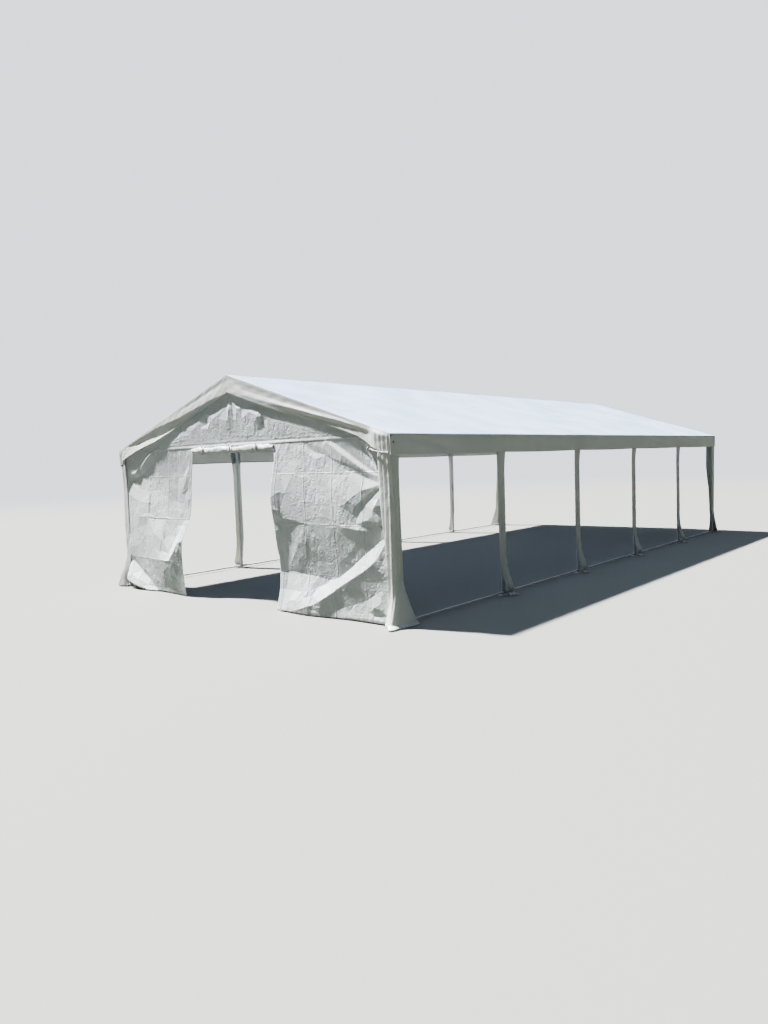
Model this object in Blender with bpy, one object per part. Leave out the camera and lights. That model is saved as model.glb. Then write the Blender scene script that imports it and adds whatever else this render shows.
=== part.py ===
"""Marquee tent of five bays: white steel tube frame, sewn sheet cover, leg covers and one gable wall.

Metres, +Z up. X runs across the tent, the front gable faces -Y, and the origin is on the ground
under the middle of the roof. The tent stands level and plumb.
"""

import math

import bmesh
import bpy
from mathutils import Matrix, Vector

# Overall sizes
TENT_WIDTH = 5.0  # over the side valances
TENT_LENGTH = 10.0  # over the gable fascias
EAVE_HEIGHT = 1.92  # fold of the roof sheet over the eaves
RIDGE_HEIGHT = 2.735
BAYS = 5

# Steel tubes and the sleeves that join them
TUBE_RADIUS = 0.019
BASE_RAIL_RADIUS = 0.0125
BASE_RAIL_HEIGHT = 0.036  # of its axis over the ground
SLEEVE_WALL = 0.0025
SLEEVE_LENGTH = 0.08  # from a joint's centre to the sleeve's mouth
SLEEVE_STEP = 0.0005  # sleeves that meet differ by this much in radius
SOCKET_LENGTH = 0.12  # of the sleeve over a leg's top, and of the collars on a rafter's ends
SOCKET_STOP = 0.002  # metal over a leg's top, under the eave sleeve
RAFTER_START = 0.0075  # of a rafter, from its joint's centre
END_REACH = 0.012  # of an end frame's sleeves and of the rails, past the leg's axis
FOOT_SLEEVE_LENGTH = 0.05  # from the leg's axis along the base rail
FOOT_PLATE_SIZE = 0.10
FOOT_PLATE_SHIFT = 0.02  # of the plate's middle, from the leg's axis into the tent
FOOT_PLATE_THICKNESS = 0.005
PEG_HOLE_RADIUS = 0.006
PEG_HOLE_INSET = 0.018  # from the plate's inner edge
TUBE_SIDES = 12

# Sheet goods
SHEET = 0.004
VALANCE_DROP = 0.21  # of valances and fascias, under the roof's outer face
FASCIA_STANDOFF = 0.03  # from the fascia's face back to the gable wall's face
HEM_HEIGHT = 0.012  # of wall and leg cover hems over the ground

# Leg covers: the strip's widths at head, shin and hem, and how far its edges curl round the leg
COVER_HEAD_WIDTH = 0.19
COVER_SHIN_WIDTH = 0.15
COVER_HEM_WIDTH = 0.25
COVER_CURL = 0.02
CORNER_HEAD_WIDTH = 0.14
CORNER_SHIN_WIDTH = 0.13
CORNER_HEM_WIDTH = 0.24
CORNER_RADIUS = 0.014
FLARE_HEIGHT = 0.38  # over the ground, where a cover starts to widen
FLARE_FALL = ((0.7, 0.12), (0.4, 0.35), (0.18, 0.68))  # shares of the flare's height and widening
TIE_DROP = 0.30  # from the head of a cover to where it is tied round the leg

# Doorway in the gable wall: its jambs, head and the slack of its free edges
DOOR_LEFT = -0.78
DOOR_RIGHT = 0.78
DOOR_HEAD = 1.93
LEFT_SLACK = ((0.92, 0.0), (0.64, 0.10), (0.51, 0.19), (0.37, 0.36), (0.25, 0.38), (0.10, 0.33))
LEFT_SLACK_AT_HEM = 0.28
RIGHT_SLACK = ((0.92, 0.0), (0.87, 0.03), (0.70, 0.11), (0.48, 0.05), (0.27, -0.03), (0.17, 0.01))
RIGHT_SLACK_AT_HEM = 0.09

# Rolled-up door, hanging under the door's head
ROLL_HEIGHT = 0.14
ROLL_DEPTH = 0.055
ROLL_SAG = 0.012
ROLL_STATIONS = 9
ROLL_SIDES = 14

# Cord that ties the wall's top right corner to the leg
TIE_RADIUS = 0.006
TIE_KNOT_RADII = (0.012, 0.009)  # at the wall's corner and at the leg
TIE_START_INSET = 0.30  # from the tent's side
TIE_START_DROP = 0.023  # under the fascia's lower edge
TIE_END_INSET = 0.06
TIE_END_DROP = 0.0
TIE_SAG = 0.008
TIE_STATIONS = 9

# Space between pieces that touch
GAP = 0.0003

# Worked out from the sizes above
PITCH = math.atan2(RIDGE_HEIGHT - EAVE_HEIGHT, TENT_WIDTH / 2)
RISE = math.tan(PITCH)
SHEET_UPRIGHT = SHEET / math.cos(PITCH)  # the roof sheet measured upright
SLEEVE_RADIUS = TUBE_RADIUS + GAP + SLEEVE_WALL
SOCKET_RADIUS = SLEEVE_RADIUS - SLEEVE_STEP
COLLAR_RADIUS = SOCKET_RADIUS - SLEEVE_STEP
FOOT_SLEEVE_RADIUS = BASE_RAIL_RADIUS + GAP + SLEEVE_WALL
COVER_FACE = TENT_WIDTH / 2 - SHEET - GAP  # outer face of the side leg covers
LEG_X = COVER_FACE - SHEET - GAP - SLEEVE_RADIUS
WALL_FACE = TENT_LENGTH / 2 - FASCIA_STANDOFF  # outer face of the gable wall
CORNER_FACE = WALL_FACE + GAP + SHEET  # outer face of the corner covers' gable side
LEG_Y = WALL_FACE - SHEET - GAP - SLEEVE_RADIUS
BAY = 2 * LEG_Y / BAYS
FRAME_DROP = (SHEET + GAP + SLEEVE_RADIUS) / math.cos(PITCH)  # roof face to rafter axis
VALANCE_TOP = EAVE_HEIGHT - SHEET_UPRIGHT - GAP
EAVE_AXIS = RIDGE_HEIGHT - LEG_X * RISE - FRAME_DROP
RIDGE_AXIS = RIDGE_HEIGHT - FRAME_DROP
LEG_TOP = EAVE_AXIS - SLEEVE_RADIUS - SOCKET_STOP - GAP


def roof_height(x):
    """Height of the roof's outer face over a point across the tent."""
    return RIDGE_HEIGHT - abs(x) * RISE


def under_roof(x):
    """Height just under the roof sheet, where a wall or fascia meets it."""
    return roof_height(x) - SHEET_UPRIGHT - GAP


def frame_line(index):
    """Place along the tent of a frame line, counted from 0 at the front."""
    return -LEG_Y + index * BAY


def clear_scene():
    """Take out whatever the scene holds."""
    for thing in list(bpy.data.objects):
        bpy.data.objects.remove(thing, do_unlink=True)


def finish(name, colour, roughness, metallic=0.0):
    """Principled material with one colour."""
    made = bpy.data.materials.new(name)
    made.use_nodes = True
    shader = made.node_tree.nodes["Principled BSDF"]
    shader.inputs["Base Color"].default_value = (*colour, 1.0)
    shader.inputs["Roughness"].default_value = roughness
    shader.inputs["Metallic"].default_value = metallic
    return made


def mesh_of(bm, name):
    """Mesh from a closed bmesh, with its faces turned outwards."""
    bmesh.ops.recalc_face_normals(bm, faces=bm.faces)
    mesh = bpy.data.meshes.new(name)
    bm.to_mesh(mesh)
    bm.free()
    return mesh


def place(name, mesh, material, location=(0.0, 0.0, 0.0), turn=0.0):
    """Object of one node, set at its place and turned about the upright."""
    thing = bpy.data.objects.new(name, mesh)
    thing.location = location
    thing.rotation_euler.z = turn
    bpy.context.scene.collection.objects.link(thing)
    if not mesh.materials:
        mesh.materials.append(material)
    return thing


def rod(start, end, radius):
    """Mesh of a round bar between two points."""
    start, end = Vector(start), Vector(end)
    along = end - start
    turn = along.to_track_quat("Z", "Y").to_matrix().to_4x4()
    bm = bmesh.new()
    bmesh.ops.create_cone(
        bm,
        cap_ends=True,
        segments=TUBE_SIDES,
        radius1=radius,
        radius2=radius,
        depth=along.length,
        matrix=Matrix.Translation((start + end) / 2) @ turn,
    )
    mesh = mesh_of(bm, "rod")
    mesh.shade_smooth()
    mesh.set_sharp_from_angle(angle=math.radians(50))
    return mesh


def block(low, high):
    """Mesh of a box between two corners."""
    low, high = Vector(low), Vector(high)
    bm = bmesh.new()
    size = Matrix.Diagonal((*(high - low), 1.0))
    bmesh.ops.create_cube(bm, size=1.0, matrix=Matrix.Translation((low + high) / 2) @ size)
    return mesh_of(bm, "block")


def upright_slab(outline, front, back):
    """Mesh of an outline of (x, z) points, from front to back along Y."""
    bm = bmesh.new()
    corners = [bm.verts.new((x, front, z)) for x, z in outline]
    face = bm.faces.new(corners)
    pushed = bmesh.ops.extrude_face_region(bm, geom=[face])
    moved = [item for item in pushed["geom"] if isinstance(item, bmesh.types.BMVert)]
    bmesh.ops.translate(bm, verts=moved, vec=(0.0, back - front, 0.0))
    return mesh_of(bm, "slab")


def combine(meshes, cuts, name):
    """One mesh from meshes that overlap, with the cuts taken out of it."""
    body = bpy.data.objects.new(name, meshes[0])
    bpy.context.scene.collection.objects.link(body)
    tools = []
    for kind, operands in (("UNION", meshes[1:]), ("DIFFERENCE", cuts)):
        for operand in operands:
            tool = bpy.data.objects.new("tool", operand)
            tool.hide_render = True
            tool.display_type = "WIRE"
            bpy.context.scene.collection.objects.link(tool)
            step = body.modifiers.new(kind.lower(), "BOOLEAN")
            step.operation = kind
            step.solver = "EXACT"
            step.object = tool
            tools.append(tool)
    made = bpy.data.meshes.new_from_object(body.evaluated_get(bpy.context.evaluated_depsgraph_get()))
    made.name = name
    for thing in [body, *tools]:
        bpy.data.objects.remove(thing, do_unlink=True)
    return made


def draped(rows, name):
    """Open mesh through rows of points: its faces look out of the tent on the right-hand side."""
    bm = bmesh.new()
    nets = [[bm.verts.new(point) for point in row] for row in rows]
    for upper, lower in zip(nets, nets[1:]):
        for at in range(len(upper) - 1):
            bm.faces.new((upper[at], lower[at], lower[at + 1], upper[at + 1]))
    mesh = bpy.data.meshes.new(name)
    bm.to_mesh(mesh)
    bm.free()
    return mesh


def thicken(thing):
    """Give a draped sheet its thickness, towards the inside of the tent."""
    wall = thing.modifiers.new("thickness", "SOLIDIFY")
    wall.thickness = SHEET
    wall.offset = -1.0
    wall.use_even_offset = True


def leg_mesh(back_reach, front_reach, name):
    """Leg with its foot plate and the sleeve that holds the base rail, for the right-hand side."""
    half = FOOT_PLATE_SIZE / 2
    plate_in = -FOOT_PLATE_SHIFT - half
    plate = block((plate_in, -half, 0.0), (plate_in + FOOT_PLATE_SIZE, half, FOOT_PLATE_THICKNESS))
    tube = rod((0, 0, FOOT_PLATE_THICKNESS / 2), (0, 0, LEG_TOP), TUBE_RADIUS)
    sleeve = rod((0, -front_reach, BASE_RAIL_HEIGHT), (0, back_reach, BASE_RAIL_HEIGHT), FOOT_SLEEVE_RADIUS)
    bore_end = 2 * FOOT_SLEEVE_LENGTH
    bore = rod((0, -bore_end, BASE_RAIL_HEIGHT), (0, bore_end, BASE_RAIL_HEIGHT), BASE_RAIL_RADIUS + GAP)
    peg_x = plate_in + PEG_HOLE_INSET
    peg = rod((peg_x, 0, -FOOT_PLATE_THICKNESS), (peg_x, 0, 2 * FOOT_PLATE_THICKNESS), PEG_HOLE_RADIUS)
    return combine([tube, plate, sleeve], [bore, peg], name)


def rafter_pair_mesh(back_reach, front_reach, name):
    """Two rafters with the ridge sleeve, the eave sleeves and the sockets for the legs."""
    ridge = Vector((0, 0, RIDGE_AXIS))
    joints = [ridge]
    parts = []
    cuts = []
    for side in (-1, 1):
        eave = Vector((side * LEG_X, 0, EAVE_AXIS))
        down = (eave - ridge).normalized()
        upper, lower = ridge + down * RAFTER_START, eave - down * RAFTER_START
        parts.append(rod(upper, lower, TUBE_RADIUS))
        for end, way in ((upper, down), (lower, -down)):
            parts.append(rod(end + way * SLEEVE_STEP, end + way * SOCKET_LENGTH, COLLAR_RADIUS))
        socket_mouth = eave - Vector((0, 0, SOCKET_LENGTH))
        parts.append(rod(eave + Vector((0, 0, RAFTER_START)), socket_mouth, SOCKET_RADIUS))
        bore_top = Vector((eave.x, 0, LEG_TOP + GAP))
        cuts.append(rod(bore_top, socket_mouth - Vector((0, 0, TUBE_RADIUS)), TUBE_RADIUS + GAP))
        joints.append(eave)
    for joint in joints:
        parts.append(rod(joint - Vector((0, front_reach, 0)), joint + Vector((0, back_reach, 0)), SLEEVE_RADIUS))
        past = Vector((0, 2 * SLEEVE_LENGTH, 0))
        cuts.append(rod(joint - past, joint + past, TUBE_RADIUS + GAP))
    return combine(parts, cuts, name)


def reaches(index, length, least):
    """How far a frame line's sleeves reach backwards and forwards: the end ones only inwards."""
    back = least if index == BAYS else length
    front = least if index == 0 else length
    return back, front


def make_frame(paint):
    """Legs, rafter pairs and the rails that run the tent's length."""
    meshes = {}
    for index in range(BAYS + 1):
        number = index + 1
        foot = reaches(index, FOOT_SLEEVE_LENGTH, END_REACH)
        if foot not in meshes:
            meshes[foot] = leg_mesh(*foot, f"leg_{number}")
        turned = foot[::-1]
        if turned not in meshes:
            meshes[turned] = leg_mesh(*turned, f"leg_{number}_turned")
        y = frame_line(index)
        place(f"leg_right_{number}", meshes[foot], paint, (LEG_X, y, 0))
        place(f"leg_left_{number}", meshes[turned], paint, (-LEG_X, y, 0), math.pi)
        sleeve = reaches(index, SLEEVE_LENGTH, END_REACH)
        if sleeve not in meshes:
            meshes[sleeve] = rafter_pair_mesh(*sleeve, f"rafter_pair_{number}")
        place(f"rafter_pair_{number}", meshes[sleeve], paint, (0, y, 0))
    ends = (Vector((0, -LEG_Y - END_REACH, 0)), Vector((0, LEG_Y + END_REACH, 0)))
    rails = (
        ("ridge_rail", 0.0, RIDGE_AXIS, TUBE_RADIUS),
        ("eave_rail_left", -LEG_X, EAVE_AXIS, TUBE_RADIUS),
        ("eave_rail_right", LEG_X, EAVE_AXIS, TUBE_RADIUS),
        ("base_rail_left", -LEG_X, BASE_RAIL_HEIGHT, BASE_RAIL_RADIUS),
        ("base_rail_right", LEG_X, BASE_RAIL_HEIGHT, BASE_RAIL_RADIUS),
    )
    for name, x, z, radius in rails:
        offset = Vector((x, 0, z))
        place(name, rod(ends[0] + offset, ends[1] + offset, radius), paint)


def make_roof(cloth):
    """Two roof slopes, a valance along each side and a fascia across each gable."""
    half_width = TENT_WIDTH / 2
    half_length = TENT_LENGTH / 2
    for side, word in ((-1, "left"), (1, "right")):
        slope = (
            (side * GAP / 2, RIDGE_HEIGHT),
            (side * half_width, EAVE_HEIGHT),
            (side * half_width, EAVE_HEIGHT - SHEET_UPRIGHT),
            (side * GAP / 2, RIDGE_HEIGHT - SHEET_UPRIGHT),
        )
        place(f"roof_slope_{word}", upright_slab(slope, -half_length, half_length), cloth)
        inner, outer = sorted((side * (half_width - SHEET), side * half_width))
        reach = half_length - SHEET - GAP
        low = (inner, -reach, EAVE_HEIGHT - VALANCE_DROP)
        place(f"side_valance_{word}", block(low, (outer, reach, VALANCE_TOP)), cloth)
    fascia = [(x, under_roof(x)) for x in (-half_width, 0, half_width)]
    fascia += [(x, roof_height(x) - VALANCE_DROP) for x in (half_width, 0, -half_width)]
    place("front_fascia", upright_slab(fascia, -half_length, -half_length + SHEET), cloth)
    place("back_fascia", upright_slab(fascia, half_length - SHEET, half_length), cloth)


def cover_rows(head, shin, hem):
    """Heights of a leg cover's rows with the width and the curl at each."""
    below_sleeve = EAVE_AXIS - 2 * SLEEVE_RADIUS
    rows = [(VALANCE_TOP, head, 0.0), (below_sleeve, head, 0.0), (below_sleeve - TIE_DROP, shin, 1.0)]
    rows.append((FLARE_HEIGHT, shin, 1.0))
    for height, widening in FLARE_FALL:
        rows.append((FLARE_HEIGHT * height, shin + (hem - shin) * widening, height))
    rail_top = BASE_RAIL_HEIGHT + 2 * FOOT_SLEEVE_RADIUS
    rows[-1] = (rail_top, rows[-1][1], 0.0)
    rows.append((HEM_HEIGHT, hem, 0.0))
    return rows


def strip_mesh():
    """Leg cover of an inner leg: a strip whose edges curl round the leg, flared at the hem."""
    rows = []
    for height, width, curl in cover_rows(COVER_HEAD_WIDTH, COVER_SHIN_WIDTH, COVER_HEM_WIDTH):
        row = []
        for step in range(-3, 4):
            share = step / 3
            row.append((COVER_FACE - LEG_X - COVER_CURL * curl * share**2, share * width / 2, height))
        rows.append(row)
    return draped(rows, "leg_cover")


def corner_mesh(side, end):
    """Leg cover of a corner leg: two strips that meet in a rounded corner outside the leg."""
    corner_x = COVER_FACE
    corner_y = CORNER_FACE
    rows = []
    for height, width, curl in cover_rows(CORNER_HEAD_WIDTH, CORNER_SHIN_WIDTH, CORNER_HEM_WIDTH):
        row = [(corner_x - width, corner_y, height), (corner_x - width / 2, corner_y, height)]
        for step in range(4):
            angle = math.pi / 2 * (1 - step / 3)
            x = corner_x - CORNER_RADIUS + CORNER_RADIUS * math.cos(angle)
            y = corner_y - CORNER_RADIUS + CORNER_RADIUS * math.sin(angle)
            row.append((x, y, height))
        past_leg = CORNER_FACE - LEG_Y + SLEEVE_RADIUS
        for share in (0.0, 0.5, 1.0):
            reach = past_leg + (width - past_leg) * share
            row.append((corner_x - COVER_CURL * curl * share**2, corner_y - reach, height))
        rows.append([(side * x, end * y, z) for x, y, z in row])
    if side * end > 0:
        rows = [row[::-1] for row in rows]
    return draped(rows, "corner_cover")


def make_leg_covers(cloth):
    """A cover over each leg: corner covers on the end frame lines, strips on the others."""
    strip = strip_mesh()
    for side, word in ((-1, "left"), (1, "right")):
        for index in range(BAYS + 1):
            name = f"leg_cover_{word}_{index + 1}"
            if index in (0, BAYS):
                end = -1 if index == 0 else 1
                thing = place(name, corner_mesh(side, end), cloth)
            else:
                turn = 0.0 if side > 0 else math.pi
                thing = place(name, strip, cloth, (side * LEG_X, frame_line(index), 0), turn)
            thicken(thing)


def door_edge(jamb, slack, slack_at_hem, side):
    """Free edge of a wall panel beside the doorway, from its head down to the hem."""
    edge = [(jamb, DOOR_HEAD)]
    edge += [(jamb + side * sway, DOOR_HEAD * share) for share, sway in slack]
    edge.append((jamb + side * slack_at_hem, HEM_HEIGHT))
    return edge


def make_gable_wall(cloth):
    """Gable wall in three panels, with its door rolled up under the top one."""
    front, back = -WALL_FACE, -WALL_FACE + SHEET
    left = [(-LEG_X, HEM_HEIGHT), (-LEG_X, under_roof(LEG_X)), (DOOR_LEFT, under_roof(DOOR_LEFT))]
    left += door_edge(DOOR_LEFT, LEFT_SLACK, LEFT_SLACK_AT_HEM, -1)
    place("gable_wall_left", upright_slab(left, front, back), cloth)
    right = [(LEG_X, HEM_HEIGHT), (LEG_X, under_roof(LEG_X)), (DOOR_RIGHT, under_roof(DOOR_RIGHT))]
    right += door_edge(DOOR_RIGHT, RIGHT_SLACK, RIGHT_SLACK_AT_HEM, -1)
    place("gable_wall_right", upright_slab(right, front, back), cloth)
    low, high = DOOR_LEFT + GAP, DOOR_RIGHT - GAP
    top = [(low, DOOR_HEAD), (low, under_roof(low)), (0, under_roof(0)), (high, under_roof(high)), (high, DOOR_HEAD)]
    place("gable_wall_top", upright_slab(top, front, back), cloth)


def make_rolled_door(cloth):
    """Door rolled up under its head: a flattened roll that sags a little in the middle."""
    middle_y = -WALL_FACE + SHEET / 2
    low, high = DOOR_LEFT + GAP, DOOR_RIGHT - GAP
    bm = bmesh.new()
    rings = []
    for station in range(ROLL_STATIONS):
        share = station / (ROLL_STATIONS - 1)
        sag = ROLL_SAG * (1 - (2 * share - 1) ** 2)
        ring = []
        for step in range(ROLL_SIDES):
            angle = 2 * math.pi * step / ROLL_SIDES + math.pi / ROLL_SIDES
            y = middle_y + ROLL_DEPTH / 2 * math.cos(angle)
            upper = math.sin(angle) > 0
            drop = 0.0 if upper else sag
            z = DOOR_HEAD - GAP - ROLL_HEIGHT / 2 - drop + ROLL_HEIGHT / 2 * math.sin(angle)
            ring.append(bm.verts.new((low + (high - low) * share, y, z)))
        rings.append([bm.edges.new((ring[at - 1], ring[at])) for at in range(ROLL_SIDES)])
    for first, second in zip(rings, rings[1:]):
        bmesh.ops.bridge_loops(bm, edges=first + second)
    bmesh.ops.holes_fill(bm, edges=rings[0] + rings[-1], sides=ROLL_SIDES)
    place("rolled_door", mesh_of(bm, "rolled_door"), cloth)


def make_corner_tie(cord):
    """Cord knotted round the wall's top right corner, drawn to the leg cover's edge."""
    lies_on = -CORNER_FACE - GAP
    tube_y = lies_on - TIE_RADIUS
    ends = []
    for inset, drop in ((TIE_START_INSET, TIE_START_DROP), (TIE_END_INSET, TIE_END_DROP)):
        x = TENT_WIDTH / 2 - inset
        ends.append(Vector((x, tube_y, roof_height(x) - VALANCE_DROP - drop)))
    parts = []
    points = []
    for station in range(TIE_STATIONS):
        share = station / (TIE_STATIONS - 1)
        sag = TIE_SAG * (1 - (2 * share - 1) ** 2)
        points.append(ends[0].lerp(ends[1], share) - Vector((0, 0, sag)))
    for start, end in zip(points, points[1:]):
        stretch = (end - start).normalized() * TIE_RADIUS / 4
        parts.append(rod(start - stretch, end + stretch, TIE_RADIUS))
    for point, radius in zip((points[0], points[-1]), TIE_KNOT_RADII):
        bm = bmesh.new()
        at = Matrix.Translation((point[0], lies_on - radius, point[2]))
        bmesh.ops.create_icosphere(bm, subdivisions=2, radius=radius, matrix=at)
        parts.append(mesh_of(bm, "knot"))
    place("corner_tie", combine(parts, [], "corner_tie"), cord)


def main():
    """Build the whole tent."""
    clear_scene()
    make_frame(finish("frame_paint", (0.80, 0.81, 0.80), 0.38))
    make_roof(finish("roof_cloth", (0.82, 0.84, 0.87), 0.45))
    make_leg_covers(finish("cover_cloth", (0.80, 0.82, 0.83), 0.45))
    wall_cloth = finish("wall_cloth", (0.79, 0.80, 0.80), 0.48)
    make_gable_wall(wall_cloth)
    make_rolled_door(wall_cloth)
    make_corner_tie(finish("tie_cord", (0.85, 0.85, 0.83), 0.7))


main()
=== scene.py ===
"""Looks of the marquee tent: one sewn roof cover, a creased gable wall, leg covers, a rolled door and ties.

Metres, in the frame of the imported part: X across the tent, the front gable faces -Y, +Z up.
"""

import logging
import math
from dataclasses import dataclass, replace
from enum import Enum
from typing import Callable, Iterable, Sequence

import bmesh
import bpy
import numpy as np
from mathutils import Matrix, Vector, geometry, noise


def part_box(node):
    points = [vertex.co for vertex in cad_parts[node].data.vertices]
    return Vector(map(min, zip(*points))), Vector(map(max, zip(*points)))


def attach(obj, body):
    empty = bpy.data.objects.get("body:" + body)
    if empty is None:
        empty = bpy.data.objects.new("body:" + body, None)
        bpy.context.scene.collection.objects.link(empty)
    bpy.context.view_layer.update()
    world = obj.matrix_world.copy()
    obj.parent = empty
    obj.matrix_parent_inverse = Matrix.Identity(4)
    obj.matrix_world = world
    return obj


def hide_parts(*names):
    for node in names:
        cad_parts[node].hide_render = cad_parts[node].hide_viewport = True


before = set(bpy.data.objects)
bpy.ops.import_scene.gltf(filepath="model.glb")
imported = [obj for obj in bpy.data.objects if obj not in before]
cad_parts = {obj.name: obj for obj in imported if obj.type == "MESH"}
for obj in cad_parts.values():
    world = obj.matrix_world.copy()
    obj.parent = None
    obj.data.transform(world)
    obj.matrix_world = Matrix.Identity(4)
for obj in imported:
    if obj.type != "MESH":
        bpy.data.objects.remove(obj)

log = logging.getLogger("marquee")

Point = tuple[float, float, float]
Colour = tuple[float, float, float]
Crease = tuple[tuple[int, int, int], ...]  # a fold's line in millimetres: across, up, height over the plane
FreeEdge = tuple[tuple[int, int], ...]  # height and place across in millimetres, from the top down
FLAT_UV = "flat"  # UV map that keeps a sheet's flat cut, in metres
PLAIN_CORNER = 0.15  # share of a pleated corner's folds that a plain corner has


class Side(Enum):
    """The tent's two long sides, by the sign of X."""

    LEFT = -1
    RIGHT = 1

    @property
    def word(self) -> str:
        """Name of the side as the frame's nodes spell it."""
        return self.name.lower()


class End(Enum):
    """The tent's two gables, by the sign of Y."""

    FRONT = -1
    BACK = 1


@dataclass(frozen=True)
class TentPlan:
    """Main sizes of the tent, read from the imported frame."""

    half_width: float
    half_length: float
    eave: float
    ridge: float
    leg_x: float
    frame_lines: tuple[float, ...]
    wall_face: float
    cover_face: float
    corner_face: float
    cover_top: float
    door_left: float
    door_right: float
    door_head: float
    valance_drop: float = 0.21
    hem_height: float = 0.012

    @classmethod
    def from_frame(cls) -> "TentPlan":
        """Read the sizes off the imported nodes.

        Returns:
            The tent's plan, in metres.
        """
        slope_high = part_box("roof_slope_right")[1]
        valance_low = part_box("side_valance_right")[0]
        rail_low, rail_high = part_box("eave_rail_right")
        legs = [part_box(f"leg_right_{number}") for number in range(1, 7)]
        wall_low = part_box("gable_wall_top")[0]
        wall_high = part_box("gable_wall_top")[1]
        cover_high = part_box("leg_cover_right_3")[1]
        corner_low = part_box("leg_cover_right_1")[0]
        return cls(
            half_width=slope_high.x,
            half_length=slope_high.y,
            eave=valance_low.z + cls.valance_drop,
            ridge=slope_high.z,
            leg_x=(rail_low.x + rail_high.x) / 2,
            frame_lines=tuple((low.y + high.y) / 2 for low, high in legs),
            wall_face=wall_low.y,
            cover_face=cover_high.x,
            corner_face=corner_low.y,
            cover_top=cover_high.z,
            door_left=wall_low.x,
            door_right=wall_high.x,
            door_head=wall_low.z,
        )

    @property
    def rise(self) -> float:
        """Fall of the roof for each metre across."""
        return (self.ridge - self.eave) / self.half_width

    @property
    def pitch(self) -> float:
        """Slope of the roof, in radians."""
        return math.atan(self.rise)

    def roof(self, across: np.ndarray | float) -> np.ndarray | float:
        """Height of the roof's outer face over places across the tent."""
        return self.ridge - np.abs(across) * self.rise


@dataclass(frozen=True)
class FoldNet:
    """A folded sheet's height over its plane, told along crease lines and flat between them."""

    creases: tuple[Crease, ...]

    def heights(self, across: np.ndarray, up: np.ndarray) -> np.ndarray:
        """Heights at places of the plane.

        Args:
            across: first coordinates of the places.
            up: second coordinates of the places.

        Returns:
            The height at each place; 0 outside the net.
        """
        known: dict[tuple[int, int], int] = {}
        flat: list[Vector] = []
        lift: list[float] = []
        edges: list[tuple[int, int]] = []
        for crease in self.creases:
            line = []
            for x, z, height in crease:
                if (x, z) not in known:
                    known[x, z] = len(flat)
                    flat.append(Vector((x, z)) / 1000)
                    lift.append(height / 1000)
                line.append(known[x, z])
            edges += list(zip(line, line[1:]))
        corners, _, faces, sources, _, _ = geometry.delaunay_2d_cdt(flat, edges, [], 0, 1e-4)
        level = [self._level(corner, source, flat, lift) for corner, source in zip(corners, sources)]
        found = np.zeros(len(across))
        for face in faces:
            self._lay(face, corners, level, across, up, found)
        return found

    @staticmethod
    def _level(corner: Vector, source: list[int], flat: list[Vector], lift: list[float]) -> float:
        """Height of a net corner: its own, or the mean of the nearest told points where lines cross."""
        if source:
            return lift[source[0]]
        order = sorted(range(len(flat)), key=lambda at: (flat[at] - corner).length)[:3]
        share = [1 / ((flat[at] - corner).length + 1e-6) for at in order]
        return sum(weight * lift[at] for weight, at in zip(share, order)) / sum(share)

    @staticmethod
    def _lay(
        face: list[int],
        corners: list[Vector],
        level: list[float],
        across: np.ndarray,
        up: np.ndarray,
        found: np.ndarray,
    ) -> None:
        """Write the heights of the places that lie on one flat face of the net."""
        a, b, c = (corners[at] for at in face)
        spread = (b.x - a.x) * (c.y - a.y) - (c.x - a.x) * (b.y - a.y)
        if abs(spread) < 1e-12:
            return
        second = ((across - a.x) * (c.y - a.y) - (c.x - a.x) * (up - a.y)) / spread
        third = ((b.x - a.x) * (up - a.y) - (across - a.x) * (b.y - a.y)) / spread
        first = 1 - second - third
        inside = (first >= -1e-9) & (second >= -1e-9) & (third >= -1e-9)
        height = first * level[face[0]] + second * level[face[1]] + third * level[face[2]]
        found[inside] = height[inside]


# Shapes of cloth


def ease(value: np.ndarray | float, low: float, high: float) -> np.ndarray | float:
    """Smooth step from 0 at low to 1 at high."""
    share = np.clip((value - low) / (high - low), 0.0, 1.0)
    return share * share * (3 - 2 * share)


def fade(height: np.ndarray, reach: float) -> np.ndarray:
    """Share that falls evenly from 1 at height 0 to 0 at reach."""
    return np.clip(1 - height / reach, 0, 1)


def spaced(start: float, end: float, step: float) -> np.ndarray:
    """Places from start to end, about a step apart."""
    return np.linspace(start, end, max(2, round(abs(end - start) / step) + 1))


def ridge_line(
    x: np.ndarray, y: np.ndarray, start: tuple[float, float], end: tuple[float, float]
) -> np.ndarray:
    """Distance from places to a straight line between two points."""
    along = np.subtract(end, start)
    reach = float(along @ along)
    share = np.clip(((x - start[0]) * along[0] + (y - start[1]) * along[1]) / reach, 0.0, 1.0)
    return np.hypot(x - start[0] - share * along[0], y - start[1] - share * along[1])


def corner_pleats(away: np.ndarray, deep: np.ndarray | float) -> np.ndarray:
    """Heights of the narrow pleats that run down the gable's corners, by distance from the corner."""
    phase = away / 0.052 % 1.0
    rise = np.where(phase < 0.75, phase / 0.75, (1 - phase) / 0.25)
    return (0.0034 * rise + 0.13 * np.minimum(away, 0.12)) * deep * ease(away, 0.014, 0.03)


def corner_tuck(depth: np.ndarray) -> np.ndarray:
    """How far the roof cover's corner is drawn in over the leg cover, by depth under the roof edge."""
    return 0.0075 * ease(depth, 0.0, 0.20)


def crumple(places: np.ndarray, size: float, seed: float) -> np.ndarray:
    """Small facets of crumpled sheet, about 0 to 1 high, with sharp valleys between them.

    Args:
        places: (n, 2) flat places, in metres.
        size: about how wide a facet is, in metres.
        seed: shifts the pattern.

    Returns:
        The pattern's height at each place.
    """
    heights = np.empty(len(places))
    for at, (u, v) in enumerate(places / size):
        bend = noise.noise(Vector((u * 0.7, v * 0.7, seed))) * 0.8
        near = noise.voronoi(Vector((u + bend, v - bend, seed)))[0]
        heights[at] = near[1] - near[0]
    return heights


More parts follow.
